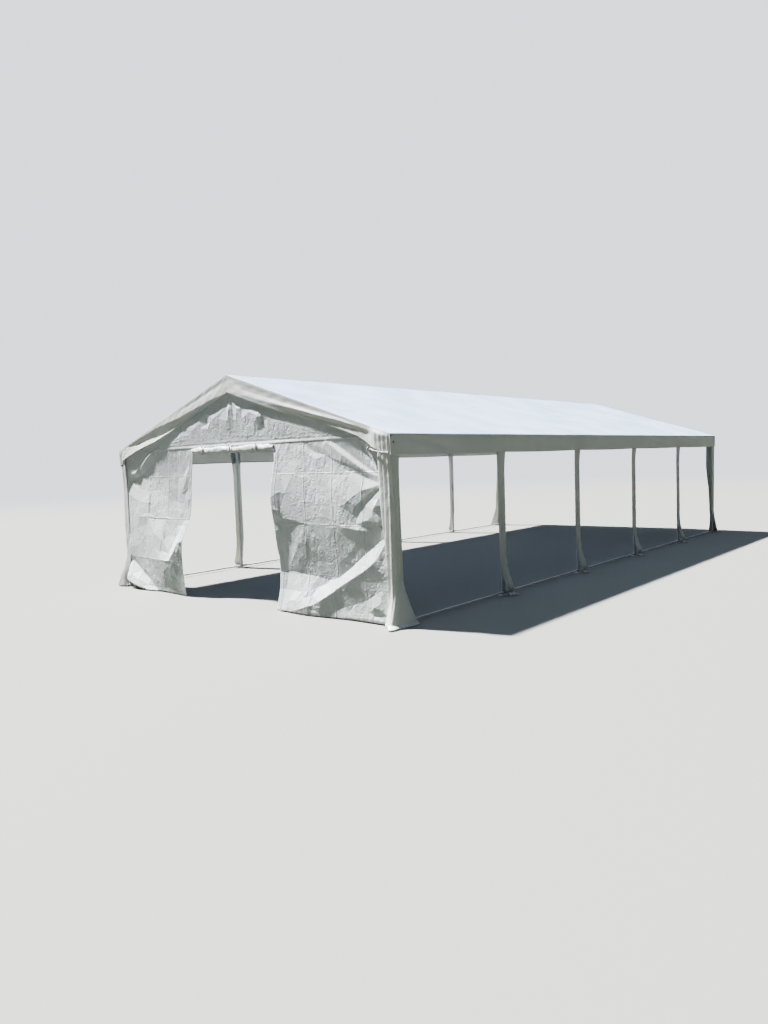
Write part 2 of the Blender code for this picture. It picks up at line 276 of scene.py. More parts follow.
def add_piece(name: str, bm: bmesh.types.BMesh, *materials: bpy.types.Material) -> bpy.types.Object:
    """Turn a finished shape into a smooth shaded object of the scene.

    Args:
        name: name of the piece.
        bm: its shape, which is freed.
        materials: its materials, in the order of their indices.

    Returns:
        The new object.
    """
    mesh = bpy.data.meshes.new(name)
    bm.to_mesh(mesh)
    bm.free()
    mesh.shade_smooth()
    for material in materials:
        mesh.materials.append(material)
    thing = bpy.data.objects.new(name, mesh)
    bpy.context.scene.collection.objects.link(thing)
    return thing


@dataclass(frozen=True)
class SheetFinish:
    """Materials of a laminated sheet: its face, and its back, which lets more of the light on through."""

    face: bpy.types.Material
    back: bpy.types.Material


class SheetMesh:
    """A sheet of cloth in the making: flat grids that are cut, bent, welded and given thickness."""

    def __init__(self) -> None:
        """Start with no cloth."""
        self.bm = bmesh.new()
        self.uv = self.bm.loops.layers.uv.new(FLAT_UV)

    def grid(self, across: Sequence[float], along: Sequence[float], bend: Callable | None = None) -> list:
        """Add a grid and bend it.

        Args:
            across: flat places of its columns.
            along: flat places of its rows.
            bend: turns an (n, 2) array of flat places into (n, 3) points. Without it the grid stays flat.

        Returns:
            The grid's vertices.
        """
        columns, rows = len(across) - 1, len(along) - 1
        made = bmesh.ops.create_grid(self.bm, x_segments=columns, y_segments=rows, size=0.5)["verts"]
        for vert in made:
            vert.co.x = across[round((vert.co.x + 0.5) * columns)]
            vert.co.y = along[round((vert.co.y + 0.5) * rows)]
        self.keep_flat({face for vert in made for face in vert.link_faces})
        if bend:
            self.bend(bend, made)
        return made

    def keep_flat(self, faces: Iterable[bmesh.types.BMFace]) -> None:
        """Write the flat places of the faces' corners into their UV."""
        for face in faces:
            for loop in face.loops:
                loop[self.uv].uv = loop.vert.co.xy

    def scale_flat(self, width: float, height: float, shift: float = 0.0) -> None:
        """Turn the UV from shares into metres, and shift it across."""
        for face in self.bm.faces:
            for loop in face.loops:
                place = loop[self.uv].uv
                loop[self.uv].uv = (place.x * width + shift, place.y * height)

    def face_towards(self, way: Vector, height: float | None = None) -> None:
        """Turn all faces to one side of the sheet.

        Args:
            way: roughly where the told face then looks.
            height: the face nearest this height is told, or the first face where it is None.
        """
        bmesh.ops.recalc_face_normals(self.bm, faces=self.bm.faces)
        told = next(iter(self.bm.faces))
        if height is not None:
            told = min(self.bm.faces, key=lambda face: abs(face.calc_center_median().z - height))
        if told.normal.dot(way) < 0:
            bmesh.ops.reverse_faces(self.bm, faces=self.bm.faces)

    def area(self) -> float:
        """Area of the sheet as it is now, in square metres."""
        return sum(face.calc_area() for face in self.bm.faces)

    def bend(self, shape: Callable, verts: Sequence | None = None) -> None:
        """Move vertices from their flat places to where the shape puts them."""
        chosen = list(verts or self.bm.verts)
        flat = np.array([vert.co[:2] for vert in chosen])
        for vert, place in zip(chosen, shape(flat)):
            vert.co = place

    def weld(self, reach: float = 0.0005) -> None:
        """Join vertices that lie together."""
        bmesh.ops.remove_doubles(self.bm, verts=self.bm.verts, dist=reach)

    def soften(self, verts: Sequence, passes: int, factor: float = 0.5) -> None:
        """Smooth vertices where folds are too sharp for cloth."""
        for _ in range(passes):
            axes = {"use_axis_x": True, "use_axis_y": True, "use_axis_z": True}
            bmesh.ops.smooth_vert(self.bm, verts=verts, factor=factor, **axes)

    def finish(self, name: str, cloth: "SheetFinish", thickness: float) -> bpy.types.Object:
        """Make the object: smooth shaded, its outer face where the grid was.

        Args:
            name: name of the piece.
            cloth: materials of its face and of its back.
            thickness: of the sheet, towards its inside.

        Returns:
            The new object.
        """
        thing = add_piece(name, self.bm, cloth.face, cloth.back)
        wall = thing.modifiers.new("thickness", "SOLIDIFY")
        wall.thickness = thickness
        wall.offset = -1.0
        wall.material_offset = 1
        return thing


@dataclass(frozen=True)
class ClothRelaxer:
    """A short cloth simulation that lets a designed sheet buckle into small natural wrinkles."""

    frames: int = 14
    quality: int = 6
    growth: float = 0.006
    bending: float = 1.5
    tension: float = 25.0
    hold: float = 0.35
    mass: float = 0.25

    def settle(self, thing: bpy.types.Object, pins: np.ndarray) -> None:
        """Run the simulation and keep its result as the piece's mesh.

        Args:
            thing: the sheet, with no modifiers yet.
            pins: how firmly each vertex is held at its place, 0 to 1.
        """
        group = thing.vertex_groups.new(name="held")
        for at, weight in enumerate(pins):
            group.add([at], float(weight), "REPLACE")
        cloth = thing.modifiers.new("cloth", "CLOTH")
        told = cloth.settings
        told.quality = self.quality
        told.mass = self.mass
        told.tension_stiffness = told.compression_stiffness = self.tension
        told.shear_stiffness = self.tension / 3
        told.bending_stiffness = self.bending
        told.air_damping = 2.0
        told.vertex_group_mass = group.name
        told.pin_stiffness = 1.0
        told.shrink_min = -self.growth
        told.effector_weights.gravity = 0.6
        cloth.collision_settings.use_collision = False
        scene = bpy.context.scene
        for number in range(1, self.frames + 1):
            scene.frame_set(number)
        settled = thing.evaluated_get(bpy.context.evaluated_depsgraph_get())
        places = np.empty(len(thing.data.vertices) * 3)
        settled.data.vertices.foreach_get("co", places)
        thing.modifiers.remove(cloth)
        thing.vertex_groups.remove(group)
        thing.data.vertices.foreach_set("co", places)
        thing.data.update()
        scene.frame_set(1)


# Finishes


class NodeTree:
    """Nodes of a material or world in the making, and their links."""

    def __init__(self, tree: bpy.types.NodeTree) -> None:
        """Work on a tree."""
        self.tree = tree

    def node(self, kind: str, settings: dict | None = None, **inputs) -> bpy.types.Node:
        """Add a node.

        Args:
            kind: its type, without the leading ShaderNode.
            settings: its own properties.
            inputs: values or sockets for its inputs, with _ for a space in their names.

        Returns:
            The new node.
        """
        made = self.tree.nodes.new("ShaderNode" + kind)
        for name, value in (settings or {}).items():
            setattr(made, name, value)
        self.tell(made, **inputs)
        return made

    def put(self, node: bpy.types.Node, name: str | int, value: object) -> None:
        """Give an input a value, or link a socket to it."""
        socket = node.inputs[name]
        if isinstance(value, bpy.types.NodeSocket):
            self.tree.links.new(value, socket)
        else:
            socket.default_value = value

    def tell(self, node: bpy.types.Node, **inputs) -> None:
        """Give several inputs values or sockets, with _ for a space in their names."""
        for name, value in inputs.items():
            self.put(node, name.replace("_", " "), value)

    def math(self, operation: str, *values: object) -> bpy.types.NodeSocket:
        """Add a Math node and return its result."""
        made = self.tree.nodes.new("ShaderNodeMath")
        made.operation = operation
        for at, value in enumerate(values):
            self.put(made, at, value)
        return made.outputs[0]

    def spread(
        self, value: bpy.types.NodeSocket, low: float, high: float, start: float, end: float
    ) -> bpy.types.NodeSocket:
        """Map a value from one range to another, smoothly and held at the ends."""
        told = {"From_Min": low, "From_Max": high, "To_Min": start, "To_Max": end}
        smooth = {"interpolation_type": "SMOOTHSTEP", "clamp": True}
        return self.node("MapRange", smooth, Value=value, **told).outputs[0]

    def blend(self, share: object, first: object, second: object) -> bpy.types.NodeSocket:
        """Mix two colours."""
        made = self.node("Mix", {"data_type": "RGBA"})
        self.put(made, 0, share)
        for socket, value in ((6, first), (7, second)):
            self.put(made, socket, (*value, 1.0) if isinstance(value, tuple) else value)
        return made.outputs[2]

    def mix(self, share: object, first: bpy.types.Node, second: bpy.types.Node) -> bpy.types.Node:
        """Mix two shaders."""
        made = self.node("MixShader")
        for at, value in enumerate((share, first.outputs[0], second.outputs[0])):
            self.put(made, at, value)
        return made

    def bump(
        self, height: bpy.types.NodeSocket, distance: float, under: object = None, strength: float = 1.0
    ) -> bpy.types.NodeSocket:
        """Add a Bump node over another one's normal."""
        made = self.node("Bump", Height=height, Distance=distance, Strength=strength)
        if under is not None:
            self.put(made, "Normal", under)
        return made.outputs[0]


class Shader(NodeTree):
    """A material in the making."""

    def __init__(self, name: str) -> None:
        """Start from Blender's own Principled material."""
        self.material = bpy.data.materials.new(name)
        self.material.use_nodes = True
        super().__init__(self.material.node_tree)
        self.base = self.tree.nodes["Principled BSDF"]
        self.output = self.tree.nodes["Material Output"]

    def surface(self, **inputs) -> None:
        """Tell inputs of the Principled node."""
        self.tell(self.base, **inputs)


@dataclass(frozen=True)
class WovenSheet:
    """White woven sheet, laminated on both sides: semi-gloss, a little translucent, creased by packing."""

    name: str
    colour: Colour
    roughness: float
    glow: float  # share of light that passes through
    crumple: float  # height of the small creases, in metres
    facet: float  # width of the small creases, in metres
    # Packing folds across and along: spacing, place of the first one, width, rise
    packing: tuple[tuple[float, float, float, float], ...] = ()
    packing_top: float = 1.88  # height over which there are none
    tape: float = 0.0035  # width of the woven tapes
    soil: float = 0.10  # how far up the hem is soiled
    soil_colour: Colour = (0.34, 0.33, 0.24)
    wander: float = 0.014  # how far a packing fold strays from its straight line
    back_glow: float = 0.85
    warmth: Colour = (0.95, 0.90, 0.76)  # tint of the light that passes through

    def make(self) -> SheetFinish:
        """Build the materials of both sides.

        Returns:
            The finish, whose materials read the cut's flat places and the height over the ground.
        """
        return SheetFinish(self._side(self.name, self.glow), self._side(self.name + "_back", self.back_glow))

    def _side(self, name: str, glow: float) -> bpy.types.Material:
        """One side's material, which lets a share of the light through."""
        shader = Shader(name)
        flat = shader.node("UVMap", {"uv_map": FLAT_UV}).outputs[0]
        tint, wear = self._tint(shader, flat)
        relief = self._relief(shader, flat)
        worn = shader.spread(wear, 0.3, 0.7, self.roughness - 0.05, self.roughness + 0.07)
        shader.surface(Base_Color=tint, Roughness=worn, Normal=relief, IOR=1.5)
        through = shader.node("BsdfTranslucent", Color=shader.blend(0.35, tint, self.warmth), Normal=relief)
        shader.put(shader.output, "Surface", shader.mix(glow, shader.base, through).outputs[0])
        return shader.material

    def _tint(self, shader: Shader, flat: bpy.types.NodeSocket) -> tuple:
        """Colour with faint patches, grime near the ground, and the patches' own value."""
        patches = shader.node("TexNoise", Vector=flat, Scale=1.3, Detail=5.0, Roughness=0.6).outputs[0]
        dull = tuple(part * 0.93 for part in self.colour)
        tint = shader.blend(shader.spread(patches, 0.35, 0.65, 0.0, 1.0), dull, self.colour)
        place = shader.node("SeparateXYZ", Vector=shader.node("TexCoord").outputs["Object"])
        specks = shader.node("TexNoise", Vector=flat, Scale=24.0, Detail=4.0).outputs[0]
        low = shader.spread(place.outputs[2], 0.0, self.soil, 1.0, 0.0)
        grime = shader.math("MULTIPLY", low, shader.spread(specks, 0.42, 0.7, 0.05, 0.5))
        tint = shader.blend(grime, tint, self.soil_colour)
        return tint, patches

    def _relief(self, shader: Shader, flat: bpy.types.NodeSocket) -> bpy.types.NodeSocket:
        """Normal with crumpled facets, packing folds and the weave."""
        wander = shader.node("TexNoise", Vector=flat, Scale=0.45 / self.facet, Detail=3.0).outputs[1]
        bent = shader.node("VectorMath", {"operation": "MULTIPLY_ADD"})
        shader.put(bent, 0, wander)
        bent.inputs[1].default_value = (self.facet * 1.6,) * 3
        shader.put(bent, 2, flat)
        edge = {"feature": "DISTANCE_TO_EDGE"}
        tall, broad = (shader.node("VectorMath", {"operation": "MULTIPLY"}) for _ in range(2))
        for stretch, by in ((tall, (1.15, 0.6, 1.0)), (broad, (0.6, 1.15, 1.0))):
            shader.put(stretch, 0, bent.outputs[0])
            stretch.inputs[1].default_value = by
        wide = shader.node("TexVoronoi", edge, Vector=tall.outputs[0], Scale=0.4 / self.facet).outputs[0]
        fine = shader.node("TexVoronoi", edge, Vector=broad.outputs[0], Scale=1.1 / self.facet).outputs[0]
        facets = shader.math("ADD", shader.math("MULTIPLY", wide, 1.6), shader.math("MULTIPLY", fine, 0.6))
        where = shader.node("TexNoise", Vector=flat, Scale=2.6, Detail=3.0, Roughness=0.6).outputs[0]
        strong = shader.spread(where, 0.38, 0.60, 0.35, 1.3)
        relief = shader.bump(shader.math("MULTIPLY", facets, strong), self.crumple)
        parts = shader.node("SeparateXYZ", Vector=flat)
        if self.packing:
            relief = shader.bump(self._folds(shader, flat), 0.20, relief)
        turn = math.pi / self.tape
        waves = [shader.math("SINE", shader.math("MULTIPLY", parts.outputs[at], turn)) for at in (0, 1)]
        return shader.bump(shader.math("MULTIPLY", *waves), 0.0003, relief, 0.35)

    def _folds(self, shader: Shader, flat: bpy.types.NodeSocket) -> bpy.types.NodeSocket:
        """Narrow raised lines where the sheet was folded for packing."""
        parts = shader.node("SeparateXYZ", Vector=flat)
        lines = []
        wander = shader.node("TexNoise", Vector=flat, Scale=9.0, Detail=2.0).outputs[0]
        for at, (spacing, first, width, rise) in enumerate(self.packing):
            place = shader.math("MULTIPLY_ADD", wander, self.wander, parts.outputs[at])
            whole = spacing * 40 - first - self.wander / 2  # keeps every place over 0
            away = shader.math("PINGPONG", shader.math("ADD", place, whole), spacing / 2)
            lines.append(shader.spread(away, 0.0, width / 2, rise, 0.0))
        under = shader.spread(parts.outputs[1], self.packing_top - 0.02, self.packing_top, 1.0, 0.0)
        return shader.math("MULTIPLY", shader.math("MAXIMUM", *lines), under)


@dataclass(frozen=True)
class FramePaint:
    """White powder coat on steel tube, scuffed and a little dusty near the ground."""

    name: str = "white_powder_coat"
    colour: Colour = (0.84, 0.85, 0.86)
    roughness: float = 0.34
    scuffed: Colour = (0.33, 0.33, 0.32)
    dusty: Colour = (0.30, 0.27, 0.20)
    peel: float = 0.0004  # height of the powder coat's orange peel, in metres

    def make(self) -> bpy.types.Material:
        """Build the material.

        Returns:
            The material, which reads object places.
        """
        shader = Shader(self.name)
        place = shader.node("TexCoord").outputs["Object"]
        patches = shader.node("TexNoise", Vector=place, Scale=3.0, Detail=6.0, Roughness=0.65).outputs[0]
        dull = tuple(part * 0.88 for part in self.colour)
        tint = shader.blend(shader.spread(patches, 0.35, 0.65, 0.0, 1.0), dull, self.colour)
        scuffs = shader.node("TexNoise", Vector=place, Scale=46.0, Detail=6.0, Roughness=0.7).outputs[0]
        tint = shader.blend(shader.spread(scuffs, 0.66, 0.74, 0.0, 0.7), tint, self.scuffed)
        height = shader.node("SeparateXYZ", Vector=place).outputs[2]
        dust = shader.math("MULTIPLY", shader.spread(height, 0.01, 0.2, 0.08, 0.0), patches)
        worn = shader.spread(patches, 0.3, 0.7, self.roughness, self.roughness + 0.2)
        shader.surface(Base_Color=shader.blend(dust, tint, self.dusty), Roughness=worn)
        peel = shader.node("TexNoise", Vector=place, Scale=260.0, Detail=2.0).outputs[0]
        shader.surface(Normal=shader.bump(peel, self.peel))
        return shader.material


@dataclass(frozen=True)
class Cordage:
    """Braided white cord and stitched tape."""

    name: str = "white_braid"
    colour: Colour = (0.80, 0.80, 0.77)
    strand: float = 0.003  # width of a braid's strand, in metres

    def make(self) -> bpy.types.Material:
        """Build the material.

        Returns:
            The material, which reads object places.
        """
        shader = Shader(self.name)
        place = shader.node("TexCoord").outputs["Object"]
        turned = shader.node("Mapping", Vector=place)
        turned.inputs["Rotation"].default_value = (0.6, 0.8, 0.5)
        waves = shader.node("TexWave", Vector=turned.outputs[0], Scale=0.31 / self.strand, Distortion=1.5)
        strands = waves.outputs[1]
        shade = tuple(part * 0.62 for part in self.colour)
        shader.surface(Base_Color=shader.blend(strands, shade, self.colour), Roughness=0.75)
        shader.surface(Normal=shader.bump(strands, self.strand / 3))
        return shader.material


@dataclass(frozen=True)
class EyeletMetal:
    """Dull nickel of the pressed eyelets."""

    name: str = "eyelet_nickel"
    colour: Colour = (0.42, 0.43, 0.42)

    def make(self) -> bpy.types.Material:
        """Build the material.

        Returns:
            The material, which reads object places.
        """
        shader = Shader(self.name)
        place = shader.node("TexCoord").outputs["Object"]
        tarnish = shader.node("TexNoise", Vector=place, Scale=120.0, Detail=4.0).outputs[0]
        dull = tuple(part * 0.5 for part in self.colour)
        shader.surface(Base_Color=shader.blend(tarnish, dull, self.colour), Metallic=1.0)
        shader.surface(Roughness=shader.spread(tarnish, 0.3, 0.7, 0.3, 0.55))
        return shader.material


# Pieces


def dress(thing: bpy.types.Object, slot: str, *nodes: str) -> None:
    """Let a piece ride on the tent and stand for its nodes."""
    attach(thing, "root")
    if nodes:
        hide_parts(*nodes)


@dataclass
class RoofCover:
    """The roof cover: one sheet over both slopes with its valances, and a fascia sewn to each end."""

    plan: TentPlan
    # cloth is the roof sheet with its painted sky reflection; edge_cloth is the same sheet without it.
    cloth: SheetFinish
    edge_cloth: SheetFinish
    metal: bpy.types.Material
    thickness: float = 0.003
    eave_radius: float = 0.028
    ridge_radius: float = 0.035
    valance_rows: int = 10
    fascia_rows: int = 20
    slope_step: float = 0.036
    pleated: float = 0.24
    pleat_step: float = 0.008
    row_step: float = 0.08
    sag: float = 0.016
    fold_radius: float = 0.010
    steep: float = 0.55  # a face that looks up less than this is valance or fascia
    pull_height: float = 0.0035
    pull_width: float = 0.045
    eyelet_radius: float = 0.008
    eyelet_wire: float = 0.004
    eyelet_in: float = 0.05  # from the valance's end
    eyelet_drop: float = 0.085  # under the eave

    NODES = (
        "roof_slope_left",
        "roof_slope_right",
        "side_valance_left",
        "side_valance_right",
        "front_fascia",
        "back_fascia",
    )
    PULLS = ((0.9, 0.30), (0.6, -0.22), (1.2, -0.48), (0.5, 0.62))  # pull lines: up the slope, along the eave

    FASCIA_RIGHT = FoldNet(
        (
            ((0, 0, 0), (2500, 0, 0), (2500, 240, 0)),
            ((0, 0, 0), (0, 60, -1), (0, 240, 0)),
            ((60, 24, 0), (500, 24, 1), (1000, 22, 1), (1500, 18, 1), (1900, 14, 1), (2200, 12, 0)),
            ((150, 62, -1), (500, 58, -2), (900, 54, -2), (1300, 44, -2), (1600, 35, -1), (1900, 28, 0)),
            ((300, 112, -1), (620, 98, -2), (1000, 84, -2), (1300, 68, -2), (1550, 54, -1)),
            ((60, 196, 5), (300, 165, 8), (600, 148, 10), (900, 126, 11), (1200, 102, 11), (1500, 84, 10),
             (1700, 68, 8), (1900, 54, 5), (2100, 46, 1), (2240, 46, 0)),
            ((300, 212, 5), (600, 204, 4), (850, 186, 1), (1000, 168, -5), (1200, 146, -10),
             (1500, 122, -13), (1800, 100, -12), (2050, 92, -13), (2180, 90, -12), (2250, 100, -4)),
            ((300, 240, 7), (600, 240, 4), (850, 240, -4), (1000, 240, -12), (1200, 240, -14),
             (1500, 240, -9), (1800, 240, 0), (2050, 240, -2), (2180, 240, -4), (2260, 240, 0)),
        )
    )
    FASCIA_LEFT = FoldNet(
        (
            ((-2500, 240, 0), (-2500, 0, 0), (0, 0, 0)),
            ((0, 0, 0), (0, 60, -1), (0, 240, 0)),
            ((-60, 24, 0), (-500, 26, 0), (-1000, 28, 0), (-1500, 26, 0), (-2000, 26, 0), (-2300, 18, 0)),
            ((-60, 70, -2), (-300, 62, -4), (-700, 52, -3), (-1000, 46, -1)),
            ((-100, 120, 2), (-400, 100, 1), (-800, 80, 1), (-1150, 66, 1)),
            ((-50, 214, 2), (-300, 172, 4), (-500, 160, 4), (-700, 142, 4), (-900, 128, 3), (-1100, 106, 3),
             (-1300, 74, 2), (-1500, 44, 1), (-1750, 34, 0)),
            ((-250, 204, -5), (-500, 198, -14), (-800, 192, -20), (-1100, 190, -20), (-1350, 184, -19),
             (-1500, 170, -18), (-1650, 130, -17), (-1800, 102, -16), (-2000, 80, -15), (-2150, 50, -9),
             (-2280, 24, -1)),
            ((-100, 240, 3), (-250, 214, 2), (-500, 211, -2), (-800, 211, -8), (-1100, 211, -10),
             (-1350, 209, -6), (-1500, 209, 4), (-1650, 206, 6), (-1800, 190, 9), (-2000, 172, 13),
             (-2200, 170, 16), (-2400, 176, 12)),
            ((-1650, 240, 4), (-1800, 240, 8), (-2000, 240, 12), (-2200, 240, 16), (-2400, 240, 11)),
        )
    )
    DROP_RIGHT = (
        (0, 214), (400, 212), (700, 206), (900, 196), (1200, 176), (1500, 160), (1800, 148), (2060, 150),
        (2180, 176), (2260, 208), (2500, 210),
    )
    DROP_LEFT = (
        (-2500, 210), (-2440, 210), (-2415, 176), (-2300, 172), (-2000, 174), (-1800, 188), (-1600, 208),
        (-1000, 210), (0, 214),
    )

    def section(self) -> tuple[np.ndarray, np.ndarray]:
        """The cover's outline across the tent, from the left hem to the right one.

        Returns:
            Its points as (across, up), and how far each is along it from the ridge.
        """
        plan = self.plan
        pitch = plan.pitch
        half = []
        for angle in np.linspace(0.0, pitch, 4)[:-1]:
            drop = self.ridge_radius * (1 / math.cos(pitch) - math.cos(angle))
            half.append((self.ridge_radius * math.sin(angle), plan.ridge - drop))
        radius = self.eave_radius
        middle = (plan.half_width - radius, plan.roof(plan.half_width - radius) - radius / math.cos(pitch))
        start = self.ridge_radius * math.sin(pitch)
        end = middle[0] + radius * math.sin(pitch)
        half += [(x, plan.roof(x)) for x in spaced(start, end - self.pleated, self.slope_step)[:-1]]
        half += [(x, plan.roof(x)) for x in spaced(end - self.pleated, end, self.pleat_step)[:-1]]
        for angle in np.linspace(math.pi / 2 - pitch, 0.0, 7)[:-1]:
            half.append((middle[0] + radius * math.cos(angle), middle[1] + radius * math.sin(angle)))
        hem = plan.eave - plan.valance_drop
        half += [(plan.half_width, z) for z in np.linspace(middle[1], hem, self.valance_rows + 1)]
        right = np.array(half)
        outline = np.vstack((right[:0:-1] * (-1, 1), right))
        steps = np.hypot(*np.diff(outline, axis=0).T)
        along = np.concatenate(([0.0], np.cumsum(steps)))
        return outline, along - along[-1] / 2

    def _bay_share(self, y: np.ndarray) -> np.ndarray:
        """How far each place is from one frame line to the next, 0 to 1."""
        lines = np.array(self.plan.frame_lines)
        return np.interp(y, lines, np.arange(len(lines))) % 1.0

    def _roof_sag(self, x: np.ndarray, y: np.ndarray) -> np.ndarray:
        """How far the slopes hang between the rafters, with faint pull lines from the eaves."""
        plan = self.plan
        share = self._bay_share(y)
        across = np.sin(math.pi * np.clip(np.abs(x) / plan.half_width, 0, 1)) ** 0.7
        drop = self.sag * 4 * share * (1 - share) * across
        for number, line in enumerate(plan.frame_lines):
            for side in (-1, 1):
                foot = (side * (plan.half_width - 0.03), line)
                for turn, (reach, way) in enumerate(self.PULLS):
                    twist = 0.12 * math.sin(2.1 * number + 1.3 * turn + side)
                    tip = (side * (plan.half_width - reach), line + way + twist)
                    away = ridge_line(x, y, foot, tip)
                    drop += self.pull_height * np.exp(-((away / self.pull_width) ** 2)) * across**0.5
        near = np.min([np.abs(y - line) for line in plan.frame_lines], axis=0)
        drop -= 0.0022 * np.exp(-((near / 0.03) ** 2))
        return drop

    def _valance_sway(self, y: np.ndarray, down: np.ndarray, side: int) -> np.ndarray:
        """How far a valance hangs out of its plane, by its place along the tent and under the eave."""
        share = self._bay_share(y)
        loose = np.sin(math.pi * share) * ease(self.plan.half_length - np.abs(y), 0.0, 0.15)
        sway = 0.006 * np.sin(2 * math.pi * (y / 0.83 + 0.2 * side)) * down
        sway += 0.004 * np.sin(2 * math.pi * (y / 0.37 + 0.31 * side + 0.4 * down)) * down
        sway *= 0.35 + 0.65 * loose
        for number, line in enumerate(self.plan.frame_lines[:-1]):
            shift = 0.10 * math.sin(3.7 * number + side)
            away = ridge_line(y, down, (line + 0.18 + shift, 0.15), (line + 1.25 + shift, 0.95))
            sway -= (0.010 if number == 0 else 0.005) * np.exp(-((away / 0.16) ** 2))
        return sway * ease(self.plan.half_length - np.abs(y), 0.0, 0.12)

    def _bend_main(self, flat: np.ndarray) -> np.ndarray:
        """Places of the main sheet, from its flat cut."""
        plan = self.plan
        outline, along = self.section()
        x = np.interp(flat[:, 0], along, outline[:, 0])
        z = np.interp(flat[:, 0], along, outline[:, 1])
        y = flat[:, 1]
        hem = plan.eave - plan.valance_drop
        down = np.clip((plan.eave - z) / plan.valance_drop, 0.0, 1.0)
        valance = np.abs(x) > plan.half_width - 0.004
        inner = ease(plan.half_length - np.abs(y), 0.0, 0.06)
        z = z - np.where(valance, 0.0, self._roof_sag(x, y) * inner)
        sway = self._valance_sway(y, down, 1) * (x > 0) - self._valance_sway(y, down, -1) * (x < 0)
        x = x + np.where(valance, sway, 0.0)
        share = self._bay_share(y)
        dip = 0.007 * np.sin(math.pi * share) * ease(down, 0.2, 1.0)
        z = z - np.where(valance, dip, 0.0)
        z = np.maximum(z, hem - 0.01)
        pull = corner_tuck(plan.eave - z) * ease(np.abs(y), plan.half_length - 0.14, plan.half_length)
        y = y - np.sign(y) * np.where(valance, pull, 0.0)
        return np.column_stack((x, y, z))

    def _fascia_fold(self, x: np.ndarray, depth: np.ndarray, end: End) -> np.ndarray:
        """How far a fascia stands out of its plane."""
        way = 1 if end is End.FRONT else -1
        net = np.where(
            x * way > 0,
            self.FASCIA_RIGHT.heights(x * way, depth),
            self.FASCIA_LEFT.heights(x * way, depth),
        )
        away = self.plan.half_width - np.abs(x)
        corner = ease(x * way, 2.22, 2.31) + ease(-x * way, 2.405, 2.425)
        deep = np.where(x * way > 0, 1.0, PLAIN_CORNER)
        pleats = (corner_pleats(away, deep) * ease(depth, 0.0, 0.05) - corner_tuck(depth)) * corner
        ripple = 0.0006 * np.sin(x * 31.0 + depth * 60.0) + 0.0003 * np.sin(x * 57.0 - depth * 125.0)
        return (net * (1 - corner) + ripple * ease(depth, 0.0, 0.05)) * ease(away, 0.0, 0.03) + pleats

    def _bend_fascia(self, flat: np.ndarray, end: End) -> np.ndarray:
        """Places of one fascia, from its flat cut."""
        plan = self.plan
        outline, along = self.section()
        x = np.interp(flat[:, 0], along, outline[:, 0])
        top = np.interp(flat[:, 0], along, outline[:, 1])
        share = (np.abs(flat[:, 1]) - plan.half_length) / plan.valance_drop
        places, drops = np.array(self.DROP_LEFT + self.DROP_RIGHT[1:]).T / 1000
        way = 1 if end is End.FRONT else -1
        bottom = plan.roof(x) - np.interp(x * way, places, drops)
        z = top + (bottom - top) * share
        out = self._fascia_fold(x, plan.roof(x) - z, end)
        return np.column_stack((x, end.value * (plan.half_length + out), z))

    def _eyelets(self) -> bpy.types.Object:
        """The eyelets that are pressed into the valances' ends, as one piece."""
        plan = self.plan
        bm = bmesh.new()
        for side in (-1, 1):
            for end in (-1, 1):
                x = side * (plan.half_width + 0.001)
                y = end * (plan.half_length - self.eyelet_in)
                middle = Vector((x, y, plan.eave - self.eyelet_drop))
                place = Matrix.Translation(middle + Vector((0.0, 0.0, self.eyelet_radius)))
                wire = bmesh.ops.create_circle(bm, segments=8, radius=self.eyelet_wire, matrix=place)
                ring = {edge for vert in wire["verts"] for edge in vert.link_edges}
                turn = Matrix.Rotation(math.pi / 2, 3, "X")
                bmesh.ops.rotate(bm, verts=wire["verts"], cent=place.translation, matrix=turn)
                bmesh.ops.spin(
                    bm,
                    geom=[*wire["verts"], *ring],
                    cent=middle,
                    axis=(1.0, 0.0, 0.0),
                    dvec=(0.0, 0.0, 0.0),
                    angle=2 * math.pi,
                    steps=16,
                    use_merge=True,
                )
        bmesh.ops.remove_doubles(bm, verts=bm.verts, dist=0.0001)
        bmesh.ops.recalc_face_normals(bm, faces=bm.faces)
        thing = add_piece("valance_eyelets", bm, self.metal)
        dress(thing, "frame_paint")
        return thing

    def _round_ends(self, sheet: SheetMesh) -> None:
        """Round the folds where the fascias turn down from the slopes."""
        plan = self.plan
        low = plan.eave - self.eave_radius
        folds = [
            edge
            for edge in sheet.bm.edges
            if len(edge.link_faces) == 2
            and all(abs(vert.co.y) > plan.half_length - 0.001 and vert.co.z > low for vert in edge.verts)
            and edge.calc_face_angle(0.0) > math.radians(60)
        ]
        bmesh.ops.bevel(
            sheet.bm,
            geom=folds,
            offset=self.fold_radius,
            segments=3,
            profile=0.5,
            affect="EDGES",
            material=-1,
            clamp_overlap=True,
        )

    def build(self) -> bpy.types.Object:
        """Returns:
            The cover.
        """
        plan = self.plan
        _, along = self.section()
        sheet = SheetMesh()
        reach = plan.half_length
        sheet.grid(along, spaced(-reach, reach, self.row_step), self._bend_main)
        rows = self.valance_rows
        columns = along[rows : len(along) - rows]
        drop = plan.valance_drop
        down = np.linspace(0.0, drop, self.fascia_rows + 1)
        sheet.grid(columns, -reach - down[::-1], lambda flat: self._bend_fascia(flat, End.FRONT))
        sheet.grid(columns, reach + down, lambda flat: self._bend_fascia(flat, End.BACK))
        sheet.weld()
        self._round_ends(sheet)
        thing = sheet.finish("roof_cover", self.cloth, self.thickness)
        # Faces that look up keep the roof sheet, whose blue tint is painted sky reflection; steeper faces,
        # the valances and fascias, take the same cloth without it.
        edge_index = len(thing.data.materials)
        thing.data.materials.append(self.edge_cloth.face)
        thing.data.materials.append(self.edge_cloth.back)
        for face in thing.data.polygons:
            if face.normal.z < self.steep:
                face.material_index = edge_index
        dress(thing, "roof_cloth", *self.NODES)
        self._eyelets()
        return thing


